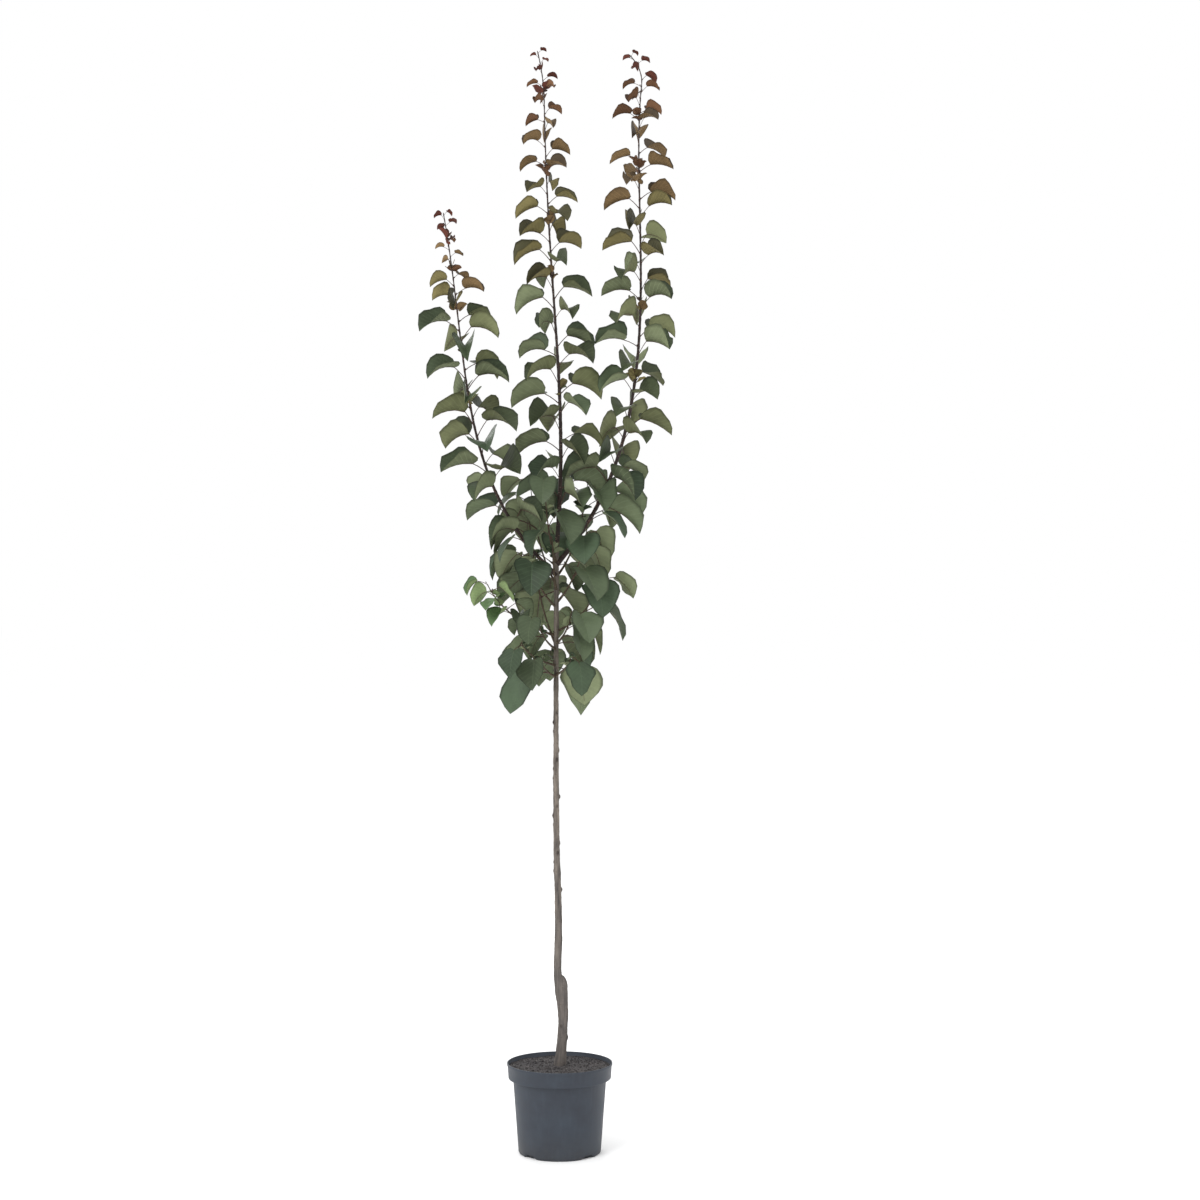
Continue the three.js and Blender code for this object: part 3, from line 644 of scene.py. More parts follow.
def isClear(leaf, spots, owner, leafClear, limbClear):
    inFront = (spots[:, 1] < 0) & (spots[:, 2] < room["laneTop"])
    if (inFront & (np.abs(spots[:, 0] - stem["offset"]) < room["laneHalf"])).any():
        return False
    others = limbOwner != owner
    gaps = np.linalg.norm(limbAt[others][:, None] - spots[None], axis=2)
    if (gaps < (limbRadius[others] + limbClear)[:, None]).any():
        return False
    for other in grown:
        lengths = leaf.length + other["leaf"].length
        if np.linalg.norm(leaf.foot - other["leaf"].foot) > room["near"] * lengths:
            continue
        gaps = np.linalg.norm(spots[:, None] - other["spots"][None], axis=2)
        if (gaps < leafClear * lengths / 2).any():
            return False
    return True


def placeLeaf(root, turn, length, habit, seed, owner, loose=False, **marks):
    leafClear = room["looseLeafClear" if loose else "leafClear"]
    limbClear = room["looseLimbClear" if loose else "limbClear"]
    for attempt in range(room["tries"]):
        aside = math.ceil(attempt / 2) * (room["tryTurn"] if attempt % 2 else -room["tryTurn"])
        leaf = Leaf(root, turn + aside, length, habit, seed + attempt / room["tries"])
        spots = leaf.spots()
        if isClear(leaf, spots, owner, leafClear, limbClear):
            grown.append({"leaf": leaf, "spots": spots, "owner": owner, **marks})
            return
    if not loose:
        leftOut.append((root, turn, length, habit, seed, owner, marks))


def habitAt(level):
    lower, upper = habits[math.floor(level)], habits[math.ceil(level)]
    return {key: mix(lower[key], upper[key], level % 1) for key in lower}


def growLeaf(limb, share, k, firstTurn, length, level, seed, age):
    turn = math.radians(firstTurn) + k * leafTurn + leafRule["turnVary"] * (chance(seed, 6) - 0.5)
    size = length * (1 + leafRule["vary"] * either(seed, 7))
    placeLeaf(limb.pointAt(share), turn, size, habitAt(level), seed, limb.name, age=age)


def growLeader(leader, limb):
    r = leafRule
    foot = leader["boughShare"] + leaderShape["leaflessFoot"]
    below, k = r["bareTip"], 0
    while below < limb.whole:
        share = limb.shareAt(limb.whole - below)
        if share < foot:
            break
        growth = math.tanh((below / leader["growing"]) ** leader["onset"])
        shade = r["leaderShade"] * clamp((below - r["shadeFrom"]) / r["shadeOver"])
        length = mix(leader["tipLeaf"], r["full"], growth) + shade * (r["shade"] - r["full"])
        age = below / leader["bronzeReach"]
        growLeaf(limb, share, k, leader["firstTurn"], length, shade, leader["seed"] + k, age)
        below += mix(r["internodeTip"], r["internodeFull"], min(1, below / r["internodeOver"]))
        k += 1


def growShoot(shoot, limb):
    name, height, turn, reach, rise, count, level = shoot
    full = leafRule["young" if name == "left_young" else "shade"]
    for k in range(count):
        share = mix(1, shootShape["bare"], k / (count - 1))
        length = full * mix(shootShape["tipLeaf"], 1, math.sqrt(1 - share))
        growLeaf(limb, share, k, turn, length, level, shootShape["seed"] + height + k, shadeAge)


for limb in leaderLimbs:
    addLimbSpots(limb, limb.radiusAt)
for limb in shootLimbs:
    addLimbSpots(limb, lambda share: shootShape["radius"])
stemLimb = Limb("trunk", lambda share: stemAt(mix(stem["graft"], stem["fork"], share)), None)
addLimbSpots(stemLimb, lambda share: stem["room"])
limbAt, limbRadius, limbOwner = np.array(limbAt), np.array(limbRadius), np.array(limbOwner)
for leader, limb in zip(leaders, leaderLimbs):
    growLeader(leader, limb)
for shoot, limb in zip(shoots, shootLimbs):
    growShoot(shoot, limb)
firstCount = len(grown)
for root, turn, length, habit, seed, owner, marks in leftOut:
    if root[2] >= room["looseAbove"]:
        placeLeaf(root, turn, length, habit, seed, owner, loose=True, **marks)
treeCount = len(grown)
print("leaves grown:", firstCount, "with full room and", treeCount - firstCount, "tucked in")


# Spurs: single hanging leaves on the stem, which close the ruff round it

spur = {"first": 1158, "step": 23, "count": 11, "turn": 70, "length": 76, "level": 1.4, "seed": 613}


def growSpurs():
    for k in range(spur["count"]):
        height = spur["first"] + k * spur["step"]
        turn = math.radians(spur["turn"]) + k * leafTurn
        root = stemAt(height) + stemRadius(height) * compass(turn)
        near = min(range(len(shoots)), key=lambda n: abs(shoots[n][1] - height))
        placeLeaf(root, turn, spur["length"], habitAt(spur["level"]), spur["seed"] + k,
                  shootLimbs[near].name, loose=True, age=shadeAge)


growSpurs()
print("leaves on spurs:", len(grown) - treeCount)


# Tufts: short axil shoots with a few small upright leaves

tuft = {"leaves": 4, "least": 15, "most": 30, "petiole": 7, "spread": 26, "shootShare": 0.72,
        "younger": 0.6,
        "habit": {"rise": 52, "lift": 48, "droop": 5, "fold": 30, "vary": 24}}


def growTuft(limb, share, seed, age):
    for k in range(tuft["leaves"]):
        turn = k * leafTurn + 2 * math.pi * chance(seed, 1)
        size = mix(tuft["least"], tuft["most"], chance(seed + k, 3))
        root = limb.pointAt(share) + up * tuft["spread"] * (chance(seed + k, 4) - 0.5)
        leaf = Leaf(root, turn, size, tuft["habit"], seed + k, tuft["petiole"])
        grown.append({"leaf": leaf, "spots": leaf.spots(), "owner": limb.name, "age": age})


for leader, limb in zip(leaders, leaderLimbs):
    for height in leader["tuftHeights"]:
        share = limb.shareAtHeight(height)
        growTuft(limb, share, height, tuft["younger"] * limb.whole * (1 - share) / leader["bronzeReach"])
for shoot, limb in zip(shoots, shootLimbs):
    growTuft(limb, tuft["shootShare"], shoot[1] + tuft["shootShare"], shadeAge)


# Leaves: a thin closed blade with an upper and a lower side

blade = {
    "rows": (0.008, 0.056, 0.14, 0.25, 0.38, 0.53, 0.7, 0.87),
    "shares": (-1, -0.5, 0, 0.5, 1),
    "thickness": 0.008, "cup": 1.35, "dripFrom": 0.75, "drip": 0.4,
    "wave": 0.045, "waves": 1.6, "waveApart": 1.3, "waveLeast": 0.5,
    "twist": 0.5, "twistFrom": 0.2, "foldApart": 0.25, "widthVary": 0.12,
    "edgeVary": 0.07, "edgeWaves": 9, "edgeShift": 6, "edgeApart": 2.2,
}
tones = {  # upper and lower side, from the tips of the leaders down into the shade
    "russet": ("#512e25", "#58332a"),
    "bronze": ("#4d3727", "#664a35"),
    "tan": ("#4c4030", "#745f42"),
    "olive": ("#46442f", "#6e6643"),
    "sage": ("#404833", "#696d4e"),
    "moss": ("#48533e", "#727a5d"),
    "deep": ("#404e3b", "#697459"),
    "young": ("#526945", "#7a8c60"),
}
toneReach = (("russet", 80), ("bronze", 190), ("tan", 345), ("olive", 500))
toneVary = 0.2
shadeBelow = {"height": 1640, "vary": 160, "sageAbove": 0.75, "mossBelow": 0.5}  # the last two are shares
youngShoot = {"owner": "left_young_shoot_foliage", "from": -115}  # its leaves beyond this are fresh green
leafLook = {
    "tones": ((0.2, 0.62), (0.8, 1.38)),  # how dark and how pale a leaf can be
    "mottleSize": 22, "mottleLow": 0.3, "mottleHigh": 0.7, "waxVary": 0.08, "ior": 1.45,
    "veinPitch": 0.13, "veinSweep": 0.7, "veinWidth": 0.012, "ribWidth": 0.014,  # in leaf lengths
    "veinShow": 0.5, "ribShow": 0.9, "veinPale": 1.45, "quiltDeep": 12,
    # painted shade: each blade darkens from this share of the way out to its margin
    "paintedRimShadeFrom": 0.82, "paintedRimShade": 0.38,
    "upper": {"rough": 0.54, "gloss": 0.2, "quilt": 0.3},
    "under": {"rough": 0.72, "gloss": 0.12, "quilt": -0.3},
}


def toned(colour, by):  # a colour made darker or paler
    return [min(1, part * by) for part in linear(colour)[:3]] + [1]


def leafMaterial(name, colour, side):
    # a living leaf: satin wax above, felted and dull below, quilted between pale side veins, with painted
    # shade darkening each blade towards its margin
    look = leafLook
    material, tree = newMaterial(name)
    place = addNode(tree, "ShaderNodeTexCoord").outputs["Object"]
    mottle = addNode(tree, "ShaderNodeTexNoise", {
        "Vector": place, "Scale": perMetre(look["mottleSize"]), "Detail": 4.0})
    depth = addNode(tree, "ShaderNodeAttribute", attribute_name="depth")
    mood = addNode(tree, "ShaderNodeMath", {0: mottle, 1: depth.outputs["Fac"]}, operation="ADD")
    half = addNode(tree, "ShaderNodeMath", {0: mood, 1: 0.5}, operation="MULTIPLY")
    skin = addNode(tree, "ShaderNodeValToRGB", {"Fac": half},
                   stops=[(at, toned(colour, by)) for at, by in look["tones"]])
    chart = addNode(tree, "ShaderNodeUVMap", uv_map="blade")
    spot = addNode(tree, "ShaderNodeSeparateXYZ", {"Vector": chart})
    aside = addNode(tree, "ShaderNodeMath", {0: spot.outputs["X"], 1: 0.5}, operation="SUBTRACT")
    away = addNode(tree, "ShaderNodeMath", {0: aside}, operation="ABSOLUTE")
    swept = addNode(tree, "ShaderNodeMath", {
        0: away, 1: -look["veinSweep"], 2: spot.outputs["Y"]}, operation="MULTIPLY_ADD")
    gap = addNode(tree, "ShaderNodeMath", {0: swept, 1: look["veinPitch"] / 2}, operation="PINGPONG")
    vein = addNode(tree, "ShaderNodeMapRange", {
        "Value": gap, "From Max": look["veinWidth"], "To Min": look["veinShow"], "To Max": 0.0})
    rib = addNode(tree, "ShaderNodeMapRange", {
        "Value": away, "From Max": look["ribWidth"], "To Min": look["ribShow"], "To Max": 0.0})
    lines = addNode(tree, "ShaderNodeMath", {0: vein, 1: rib}, operation="MAXIMUM")
    # painted shade darkens the blade near its margin
    margin = addNode(tree, "ShaderNodeAttribute", attribute_name="margin")
    rim = addNode(tree, "ShaderNodeMapRange", {
        "Value": margin.outputs["Fac"], "From Min": look["paintedRimShadeFrom"]})
    for share, by in ((lines, look["veinPale"]), (rim, look["paintedRimShade"])):
        skin = addNode(tree, "ShaderNodeMix", {"Factor": share, 6: skin, 7: toned(colour, by)},
                       data_type="RGBA")
    relief = addNode(tree, "ShaderNodeBump", {
        "Height": gap, "Strength": side["quilt"], "Distance": look["quiltDeep"] * mm})
    wax = addNode(tree, "ShaderNodeMapRange", {
        "Value": mottle, "From Min": look["mottleLow"], "From Max": look["mottleHigh"],
        "To Min": side["rough"] - look["waxVary"], "To Max": side["rough"] + look["waxVary"]})
    shader = addNode(tree, "ShaderNodeBsdfPrincipled", {
        "Base Color": skin, "Roughness": wax, "IOR": look["ior"],
        "Specular IOR Level": side["gloss"], "Normal": relief})
    addNode(tree, "ShaderNodeOutputMaterial", {"Surface": shader})
    return material


def toneOf(item):
    if item["owner"] == youngShoot["owner"] and item["leaf"].foot[0] < youngShoot["from"]:
        return "young"
    seed = item["leaf"].seed
    age = item["age"] * (1 + toneVary * either(seed, 8))
    for name, reach in toneReach:
        if age < reach:
            return name
    shade = chance(seed, 9)
    if item["leaf"].foot[2] > shadeBelow["height"] + shadeBelow["vary"] * (chance(seed, 17) - 0.5):
        return "sage" if shade < shadeBelow["sageAbove"] else "moss"
    return "moss" if shade < shadeBelow["mossBelow"] else "deep"


bladeV, bladeShare = np.meshgrid(np.array(blade["rows"]), np.array(blade["shares"], float), indexing="ij")


def bladePoints(leaf):
    v, share = bladeV, bladeShare
    along, across, face = leaf.axes(v)
    turn = blade["twist"] * either(leaf.seed, 11) * (v - blade["twistFrom"])[..., None]
    across, face = across * np.cos(turn) + face * np.sin(turn), face * np.cos(turn) - across * np.sin(turn)
    drip = 1 - blade["drip"] * np.clip((v - blade["dripFrom"]) / (1 - blade["dripFrom"]), 0, 1)
    vary = 1 + blade["widthVary"] * either(leaf.seed, 14)
    shift = blade["edgeShift"] * chance(leaf.seed, 15)
    ripple = np.sin(blade["edgeWaves"] * v + shift + blade["edgeApart"] * np.sign(share))
    edge = 1 + blade["edgeVary"] * ripple
    wide = leaf.halfWide(v) * drip * vary * edge
    fold = leaf.fold + blade["foldApart"] * either(leaf.seed, 12) * np.sign(share)
    phase = 2 * np.pi * chance(leaf.seed, 10)
    shifted = phase + np.sign(share) * blade["waveApart"]
    wave = np.sin(2 * np.pi * blade["waves"] * v + shifted) * share ** 2
    crimp = leaf.length * blade["wave"] * (blade["waveLeast"] + chance(leaf.seed, 13)) * outlineAt(v)
    cupped = wide * np.sin(fold) * np.abs(share) ** blade["cup"] + crimp * wave
    top = leaf.midrib(v) + across * (wide * share * np.cos(fold))[..., None]
    top = top - along * leaf.lobe(v, share) + face * cupped[..., None]
    inner = 1 - share ** 2
    half = face * (leaf.length * blade["thickness"] / 2 * inner)[..., None]
    low = (top - half)[:, 1:-1]
    ends = leaf.midrib(np.array([0.0, 1.0]))
    return np.vstack([ends, (top + half).reshape(-1, 3), low.reshape(-1, 3)])


def bladeFaces():
    rows, cols = bladeV.shape
    foot, tip, sides = 0, 1, []

    def upper(r, c):
        if r < 0 or r == rows:
            return foot if r < 0 else tip
        return 2 + r * cols + c

    def lower(r, c):
        if 0 <= r < rows and 0 < c < cols - 1:
            return 2 + rows * cols + r * (cols - 2) + c - 1
        return upper(r, c)

    for corner in (upper, lower):  # split alike, so that the two sides never cross
        faces = []
        for r in range(-1, rows):
            for c in range(cols - 1):
                a, b, d, e = corner(r, c), corner(r + 1, c), corner(r + 1, c + 1), corner(r, c + 1)
                face = (a, b, d, e) if c < cols // 2 else (b, d, e, a)
                faces.append(tuple(dict.fromkeys(face)))
        sides.append(faces)
    rim = {foot, tip} | {upper(r, c) for r in range(rows) for c in (0, cols - 1)}
    rib = {foot, tip} | {upper(r, cols // 2) for r in range(rows)}
    return sides[0] + [face[:1] + face[:0:-1] for face in sides[1]], len(sides[0]), rim, rib


def makeLeaves():
    faces, upperCount, rim, rib = bladeFaces()
    count = 2 + bladeV.size + bladeV.shape[0] * (bladeV.shape[1] - 2)
    sideways = 0.5 + leafRule["halfWidth"] * outlineAt(bladeV) * bladeShare
    chart = np.dstack([sideways, bladeV])
    chart = np.vstack([[(0.5, 0), (0.5, 1)], chart.reshape(-1, 2), chart[:, 1:-1].reshape(-1, 2)])
    outwards = np.abs(bladeShare)
    margins = np.concatenate([[1, 1], outwards.ravel(), outwards[:, 1:-1].ravel()])
    for tone, (upperColour, lowerColour) in tones.items():
        worn = [item for item in grown if toneOf(item) == tone]
        points = np.vstack([bladePoints(item["leaf"]) for item in worn]) * mm
        every = [tuple(k * count + corner for corner in face) for k in range(len(worn)) for face in faces]
        mesh = bpy.data.meshes.new(tone + "Leaves")
        mesh.from_pydata(points.tolist(), [], every)
        materials = [leafMaterial(tone + "LeafUpper", upperColour, leafLook["upper"]),
                     leafMaterial(tone + "LeafUnder", lowerColour, leafLook["under"])]
        nodes = sorted({item["owner"] for item in worn})
        addPiece(tone + "Leaves", mesh, materials, nodes)
        sides = np.array([0] * upperCount + [1] * (len(faces) - upperCount), np.int32)
        mesh.polygons.foreach_set("material_index", np.tile(sides, len(worn)))
        corners = np.empty(len(mesh.loops), np.int32)
        mesh.loops.foreach_get("vertex_index", corners)
        mesh.uv_layers.new(name="blade").data.foreach_set("uv", chart[corners % count].ravel())
        depths = np.repeat([chance(item["leaf"].seed, 16) for item in worn], count)
        for name, values in (("depth", depths), ("margin", np.tile(margins, len(worn)))):
            mesh.attributes.new(name, "FLOAT", "POINT").data.foreach_set("value", values)
        edges = np.empty(len(mesh.edges) * 2, np.int32)
        mesh.edges.foreach_get("vertices", edges)
        ends = edges.reshape(-1, 2) % count
        sharp = np.zeros(len(ends), bool)
        for line in (rim, rib):  # margins and midribs stay crisp
            sharp |= np.isin(ends, list(line)).all(axis=1)
        mesh.attributes.new("sharp_edge", "BOOLEAN", "EDGE").data.foreach_set("value", sharp)
        print(tone, "leaves:", len(worn))


makeLeaves()


# Leaf stalks, each running on as the midrib under its blade, and the buds in their axils

stalk = {
    "thickness": 0.0095, "thinnest": 0.3, "sides": 4, "arch": 0.05,
    "rows": (0, 0.12, 0.35, 0.65, 1), "swelling": (1.7, 1.25, 1, 0.95, 1),  # from the axil to the blade
    "ribRows": (0.12, 0.3, 0.5, 0.7, 0.88), "ribThick": 0.8, "ribThin": 0.35, "ribBelow": 0.5,
    "colours": ("#37251f", "#54392e"), "streak": 3, "pore": 6, "poreColour": "#7d5a48", "rough": 0.5,
}
bud = {
    "length": 4.6, "radius": 1.3, "sides": 5, "rise": 62, "out": 2.2, "above": 3, "leastLeaf": 30,
    "rows": (0, 0.3, 0.65, 1), "swelling": (0.6, 1, 0.75, 0.08),
    "colours": ("#3a2a24", "#5e4538"), "streak": 2, "pore": 5, "poreColour": "#6b5040", "rough": 0.6,
}
barkLook = {  # heights and depth in millimetres
    "stops": (0.3, 0.72), "drawn": 0.14, "squat": 2.2, "poreFrom": 0.12, "poreTo": 0.24, "poreShow": 0.8,
    "lowStemColour": "#4a4849", "lowStemFrom": 400, "lowStemTo": 900, "lowStemShare": 0.5,
    "scarColour": "#2e2522", "scarFrom": 0.1, "scarTo": 0.5, "scarred": 0.8,
    "deep": 0.8, "show": 0.5, "gloss": 0.3,
}


def barkMaterial(name, kind):
    # smooth bark: long fibre streaks, raised breathing pores, greyer low on the stem and dark at its scars
    look = barkLook
    material, tree = newMaterial(name)
    place = addNode(tree, "ShaderNodeTexCoord").outputs["Object"]
    drawn = addNode(tree, "ShaderNodeMapping", {"Vector": place, "Scale": (1, 1, look["drawn"])})
    fibre = addNode(tree, "ShaderNodeTexNoise", {
        "Vector": drawn, "Scale": perMetre(kind["streak"]), "Detail": 5.0, "Roughness": 0.6})
    skin = addNode(tree, "ShaderNodeValToRGB", {"Fac": fibre},
                   stops=[(at, linear(colour)) for at, colour in zip(look["stops"], kind["colours"])])
    squat = addNode(tree, "ShaderNodeMapping", {"Vector": place, "Scale": (1, 1, look["squat"])})
    pores = addNode(tree, "ShaderNodeTexVoronoi", {
        "Vector": squat, "Scale": perMetre(kind["pore"]), "Randomness": 1.0})
    pore = addNode(tree, "ShaderNodeMapRange", {
        "Value": pores, "From Min": look["poreFrom"], "From Max": look["poreTo"],
        "To Min": look["poreShow"], "To Max": 0.0})
    spot = addNode(tree, "ShaderNodeSeparateXYZ", {"Vector": place})
    # the bark is darker and greyer towards the foot of the stem
    age = addNode(tree, "ShaderNodeMapRange", {
        "Value": spot.outputs["Z"], "From Min": look["lowStemFrom"] * mm, "From Max": look["lowStemTo"] * mm,
        "To Min": look["lowStemShare"], "To Max": 0.0})
    scar = addNode(tree, "ShaderNodeAttribute", attribute_name="scar")
    dark = addNode(tree, "ShaderNodeMapRange", {
        "Value": scar.outputs["Fac"], "From Min": look["scarFrom"], "From Max": look["scarTo"],
        "To Max": look["scarred"]})
    layers = ((pore, kind["poreColour"]), (age, look["lowStemColour"]), (dark, look["scarColour"]))
    for share, colour in layers:
        skin = addNode(tree, "ShaderNodeMix", {"Factor": share, 6: skin, 7: linear(colour)},
                       data_type="RGBA")
    height = addNode(tree, "ShaderNodeMath", {0: fibre, 1: pore}, operation="ADD")
    relief = addNode(tree, "ShaderNodeBump", {
        "Height": height, "Strength": look["show"], "Distance": look["deep"] * mm})
    shader = addNode(tree, "ShaderNodeBsdfPrincipled", {
        "Base Color": skin, "Roughness": kind["rough"], "Specular IOR Level": look["gloss"],
        "Normal": relief})
    addNode(tree, "ShaderNodeOutputMaterial", {"Surface": shader})
    return material


def tubeMesh(name, tubes, sides):
    # each tube is its centre points, radii and a level vector square to all of it
    verts, faces, first = [], [], 0
    turns = 2 * np.pi * np.arange(sides) / sides
    for points, radii, level in tubes:
        tangents = np.gradient(points, axis=0)
        tangents /= np.linalg.norm(tangents, axis=1)[:, None]
        square = np.cross(tangents, level)
        ring = np.cos(turns)[None, :, None] * level + np.sin(turns)[None, :, None] * square[:, None]
        verts.append((points[:, None] + ring * radii[:, None, None]).reshape(-1, 3))
        rings = len(points)
        for r in range(rings - 1):
            for c in range(sides):
                a, b = first + r * sides + c, first + r * sides + (c + 1) % sides
                faces.append((b, a, a + sides, b + sides))
        faces.append(tuple(first + c for c in range(sides)))
        faces.append(tuple(first + (rings - 1) * sides + c for c in reversed(range(sides))))
        first += rings * sides
    mesh = bpy.data.meshes.new(name)
    mesh.from_pydata((np.vstack(verts) * mm).tolist(), [], faces)
    return mesh


def makeStalks():
    s, b = stalk, bud
    shares, rows = np.array(s["rows"]), np.array(s["ribRows"])
    rise = math.radians(b["rise"])
    stalks, buds = [], []
    for item in grown:
        leaf = item["leaf"]
        radius = leaf.length * s["thickness"] + s["thinnest"]
        arch = leaf.petiole * s["arch"] * np.sin(np.pi * shares)
        foot = leaf.root + (leaf.foot - leaf.root) * shares[:, None] + arch[:, None] * up
        ribRadii = radius * np.linspace(s["ribThick"], s["ribThin"], len(rows))
        rib = leaf.midrib(rows) - leaf.axes(rows)[2] * (ribRadii * s["ribBelow"])[:, None]
        radii = radius * np.array(s["swelling"])
        stalks.append((np.vstack([foot, rib]), np.concatenate([radii, ribRadii]), leaf.level))
        if leaf.length > b["leastLeaf"]:
            way = math.cos(rise) * leaf.out + math.sin(rise) * up
            start = leaf.root + leaf.out * b["out"] + up * b["above"]
            spots = start + way * (b["length"] * np.array(b["rows"]))[:, None]
            buds.append((spots, b["radius"] * np.array(b["swelling"]), leaf.level))
    nodes = sorted({item["owner"] for item in grown})
    material = barkMaterial("leafStalkSkin", s)
    addPiece("leafStalks", tubeMesh("leafStalks", stalks, s["sides"]), [material], nodes)
    material = barkMaterial("budScales", b)
    addPiece("axilBuds", tubeMesh("axilBuds", buds, b["sides"]), [material], nodes)
    print("stalks:", len(stalks), "buds:", len(buds))


makeStalks()


# Wood: the trunk with its graft and knots, the leaders and the shoots

knot = {
    "count": 20, "first": 621, "step": 22,  # up the stem, every other one small
    "onStock": ((271, -5, 0.7), (333, 25, 0.5), (300, 250, 0.6)),  # height, turn, size
    "proud": 4.2, "small": 0.55, "tall": 4.4, "wide": 3.4, "dimple": 0.4, "dimpleTight": 7, "reach": 9,
}
knots = [(knot["first"] + k * knot["step"], k * leafTurn / 2, knot["small"] if k % 2 else 1)
         for k in range(knot["count"])]
knots += [(height, math.radians(turn), size) for height, turn, size in knot["onStock"]]
trunk = {
    "sides": 30, "rowHeight": 2.2, "relief": 0.6, "reliefWide": 5, "reliefTall": 20, "reliefSoftness": 0.8,
    "ringProud": 0.35, "ringTall": 7, "ringSpot": (3.3, 1.7), "uneven": 0.09, "unevenTall": 26,
    "colours": ("#3d3835", "#877d73"), "streak": 7, "pore": 11, "poreColour": "#56493f", "rough": 0.8,
}
wood = {
    "sides": 12, "rowLength": 5, "leastRows": 6, "nodeProud": 0.55, "nodeLong": 4,
    "collar": 0.5, "collarLong": 22, "relief": 0.12, "reliefTurns": 1.5, "reliefLong": 9,
    "colours": ("#1d1513", "#372823"), "streak": 4, "pore": 9, "poreColour": "#8a7466", "rough": 0.55,
}
twig = {
    "sides": 7, "rowLength": 6, "nodeProud": 0.4,
    "colours": ("#382d23", "#544736"), "streak": 3, "pore": 7, "poreColour": "#8f8468", "rough": 0.6,
}
slopeStep = 0.004  # share of a limb to either side over which its slope is taken


def sweep(limb, radiusAt, sides, rows, levelRings=False):
    # a cylinder cut into rings, each ring then moved to its place on the limb
    bm = bmesh.new()
    bmesh.ops.create_cone(bm, cap_ends=True, segments=sides, radius1=1, radius2=1, depth=1)
    uprights = [edge for edge in bm.edges if abs(edge.verts[0].co.z - edge.verts[1].co.z) > 0.5]
    bmesh.ops.subdivide_edges(bm, edges=uprights, cuts=rows - 1)
    frames = {}
    for vert in bm.verts:
        row = round((vert.co.z + 0.5) * rows)
        if row not in frames:
            share = row / rows
            step = limb.pointAt(min(1, share + slopeStep)) - limb.pointAt(max(0, share - slopeStep))
            along = up if levelRings else step / np.linalg.norm(step)
            back = np.array([0, 1, 0]) - along * along[1]
            back /= np.linalg.norm(back)
            frames[row] = share, limb.pointAt(share), np.cross(back, along), back
        share, middle, side, back = frames[row]
        angle = math.atan2(vert.co.y, vert.co.x)
        radius = radiusAt(share, angle)
        vert.co = Vector(middle + radius * (math.cos(angle) * side + math.sin(angle) * back))
    bmesh.ops.recalc_face_normals(bm, faces=bm.faces)
    return bm


def knotRelief(height, angle, radius):
    total = 0.0
    for at, turn, size in knots:
        off = (angle - turn + math.pi) % (2 * math.pi) - math.pi
        away = (off * radius / knot["wide"]) ** 2 + ((height - at) / knot["tall"]) ** 2
        if away < knot["reach"]:
            bump = math.exp(-away) - knot["dimple"] * math.exp(-away * knot["dimpleTight"])
            total += size * knot["proud"] * bump
    return total


def circleReach(middle, radius, centre, angle):  # how far a ray from the centre runs inside a level circle
    way = Vector((math.cos(angle), math.sin(angle)))
    off = Vector((middle - centre, 0))
    along = off.dot(way)
    inside = radius * radius - off.length_squared + along * along
    return along + math.sqrt(inside) if inside > 0 else 0.0


def trunkCentre(height):  # the stock's middle at the foot, easing over to the stem's at the graft
    share = clamp((height - stock["graftFrom"]) / (stock["top"] - stock["graftFrom"]))
    return mix(stockX(height), stemX(height), ease(share))


def stockX(height):
    share = clamp((height - stock["ground"]) / (stock["top"] - stock["ground"]))
    return 2 * share * (1 - share) * stock["lean"] + share * share * stock["topLean"]


def trunkRadius(height, angle):
    centre = trunkCentre(height)
    reach = 0.0
    if height < stock["top"]:
        flare = stock["flare"] * math.exp(-max(0, height - stock["ground"]) / stock["flareHeight"])
        dome = clamp(1 - (stock["top"] - height) / stock["dome"])
        radius = (stock["radius"] + flare) * math.sqrt(max(0, 1 - dome * dome))
        reach = circleReach(stockX(height), radius, centre, angle)
    rising = ease(clamp((height - graft["from"]) / graft["over"]))
    radius = mix(graft["foot"], stemRadius(height), rising)
    stemReach = circleReach(mix(stockX(height), stemX(height), rising), radius, centre, angle)
    return (reach ** graft["softness"] + stemReach ** graft["softness"]) ** (1 / graft["softness"])


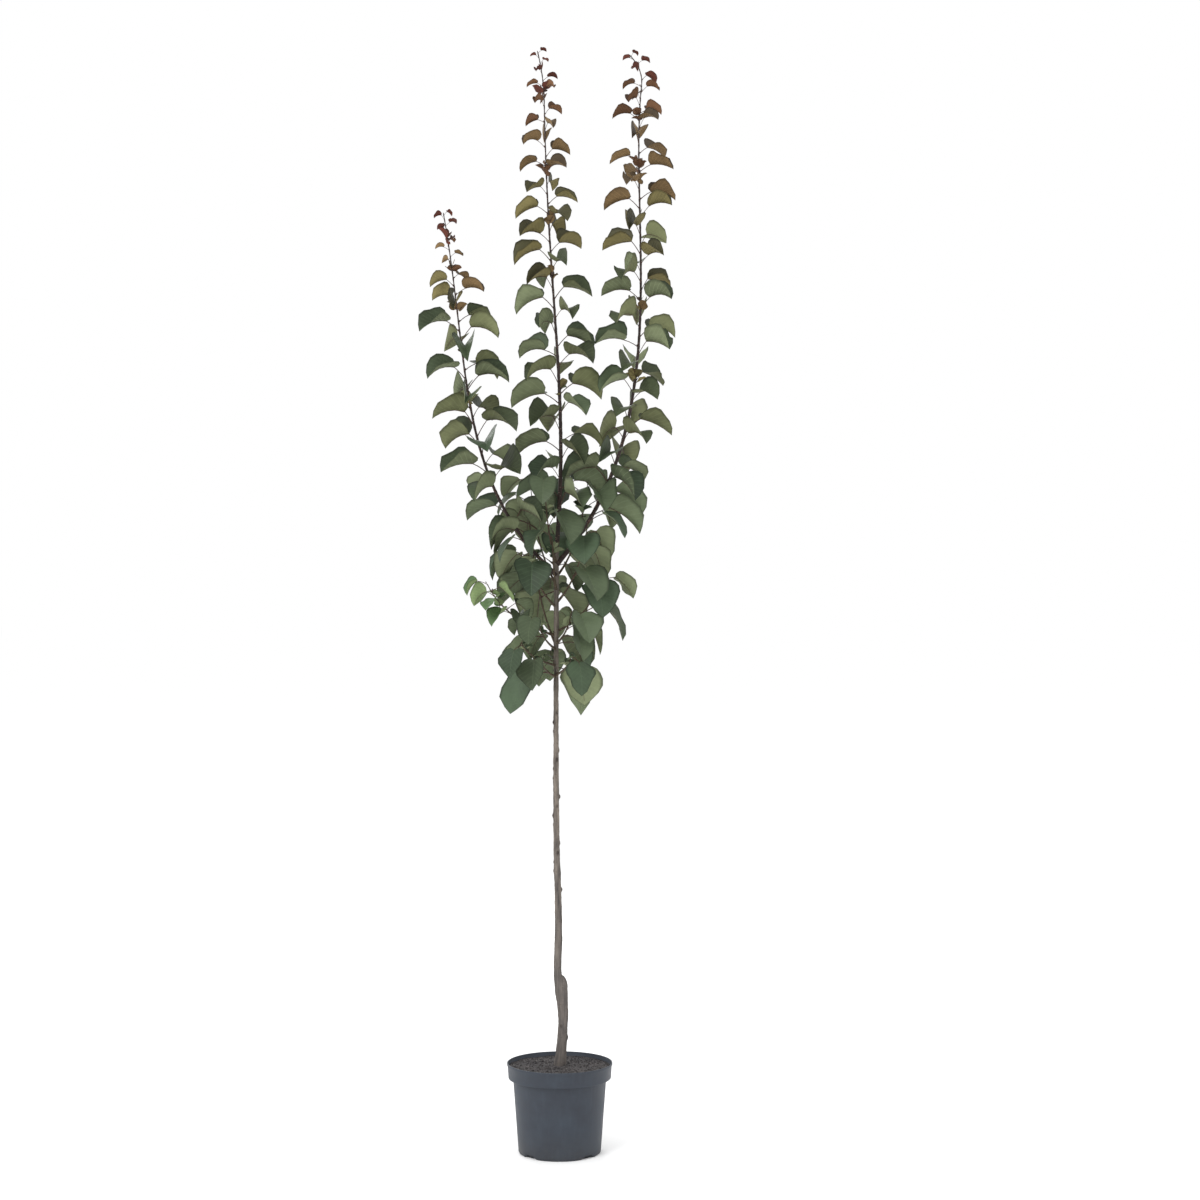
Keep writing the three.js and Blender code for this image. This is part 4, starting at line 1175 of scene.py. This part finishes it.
def makeTrunk():
    t = trunk
    tall = stem["fork"] - stock["foot"]

    def pointAt(share):
        height = stock["foot"] + share * tall
        return np.array([trunkCentre(height), 0, height])

    def radiusAt(share, angle):
        height = stock["foot"] + share * tall
        radius = trunkRadius(height, angle)
        side, back = math.cos(angle), math.sin(angle)
        around = Vector((radius * side / t["reliefWide"], radius * back / t["reliefWide"],
                         height / t["reliefTall"]))
        bark = t["relief"] * noise.fractal(around, t["reliefSoftness"], octaves["step"], octaves["count"])
        rings = t["ringProud"] * noise.noise(Vector((*t["ringSpot"], height / t["ringTall"])))
        uneven = 1 + t["uneven"] * noise.noise(Vector((side, back, height / t["unevenTall"])))
        return radius * uneven + bark + rings + knotRelief(height, angle, radius)

    limb = Limb("trunk", pointAt, None)
    bm = sweep(limb, radiusAt, t["sides"], round(tall / t["rowHeight"]), levelRings=True)
    material = barkMaterial("smoothGreyBark", t)
    mesh = meshFrom(bm, "trunkBark")
    scars = mesh.attributes.new("scar", "FLOAT", "POINT")
    for vert, scar in zip(mesh.vertices, scars.data):
        x, y, height = vert.co / mm
        x -= trunkCentre(height)
        scar.value = knotRelief(height, math.atan2(y, x), math.hypot(x, y)) / knot["proud"]
    piece = addPiece("trunkBark", mesh, [material], ["trunk"])
    print("trunk made:", len(piece.data.polygons), "faces")


def limbMesh(limb, look, collar):
    nodes = np.array([np.interp(limb.shareAtHeight(item["leaf"].root[2]), limb.shares, limb.lengths)
                      for item in grown if item["owner"] == limb.name])

    def radiusAt(share, angle):
        at = float(np.interp(share, limb.shares, limb.lengths))
        plain = limb.radiusAt(share)
        swell = look["nodeProud"] * float(np.exp(-((nodes - at) / wood["nodeLong"]) ** 2).max(initial=0))
        foot = collar * plain * math.exp(-at / wood["collarLong"])
        side, back = math.cos(angle) * wood["reliefTurns"], math.sin(angle) * wood["reliefTurns"]
        rough = wood["relief"] * noise.noise(Vector((side, back, at / wood["reliefLong"])))
        return plain + swell + foot + rough

    rows = max(wood["leastRows"], round(limb.whole / look["rowLength"]))
    bm = sweep(limb, radiusAt, look["sides"], rows)
    return meshFrom(bm, limb.name)


def makeWood():
    material = barkMaterial("darkYoungBark", wood)
    for leader, limb in zip(leaders, leaderLimbs):
        mesh = limbMesh(limb, wood, 0 if leader["name"] == "centre" else wood["collar"])
        nodes = [leader["name"] + "_bough", limb.name]
        addPiece(leader["name"] + "LeaderWood", mesh, [material], nodes)
    bm = bmesh.new()
    for limb in shootLimbs:
        bm.from_mesh(limbMesh(limb, twig, wood["collar"]))
    twigs = bpy.data.meshes.new("shootTwigs")
    bm.to_mesh(twigs)
    bm.free()
    material = barkMaterial("greenBrownTwigBark", twig)
    addPiece("shootTwigs", twigs, [material], [limb.name for limb in shootLimbs])
    print("leaders and shoots made")


makeTrunk()
makeWood()
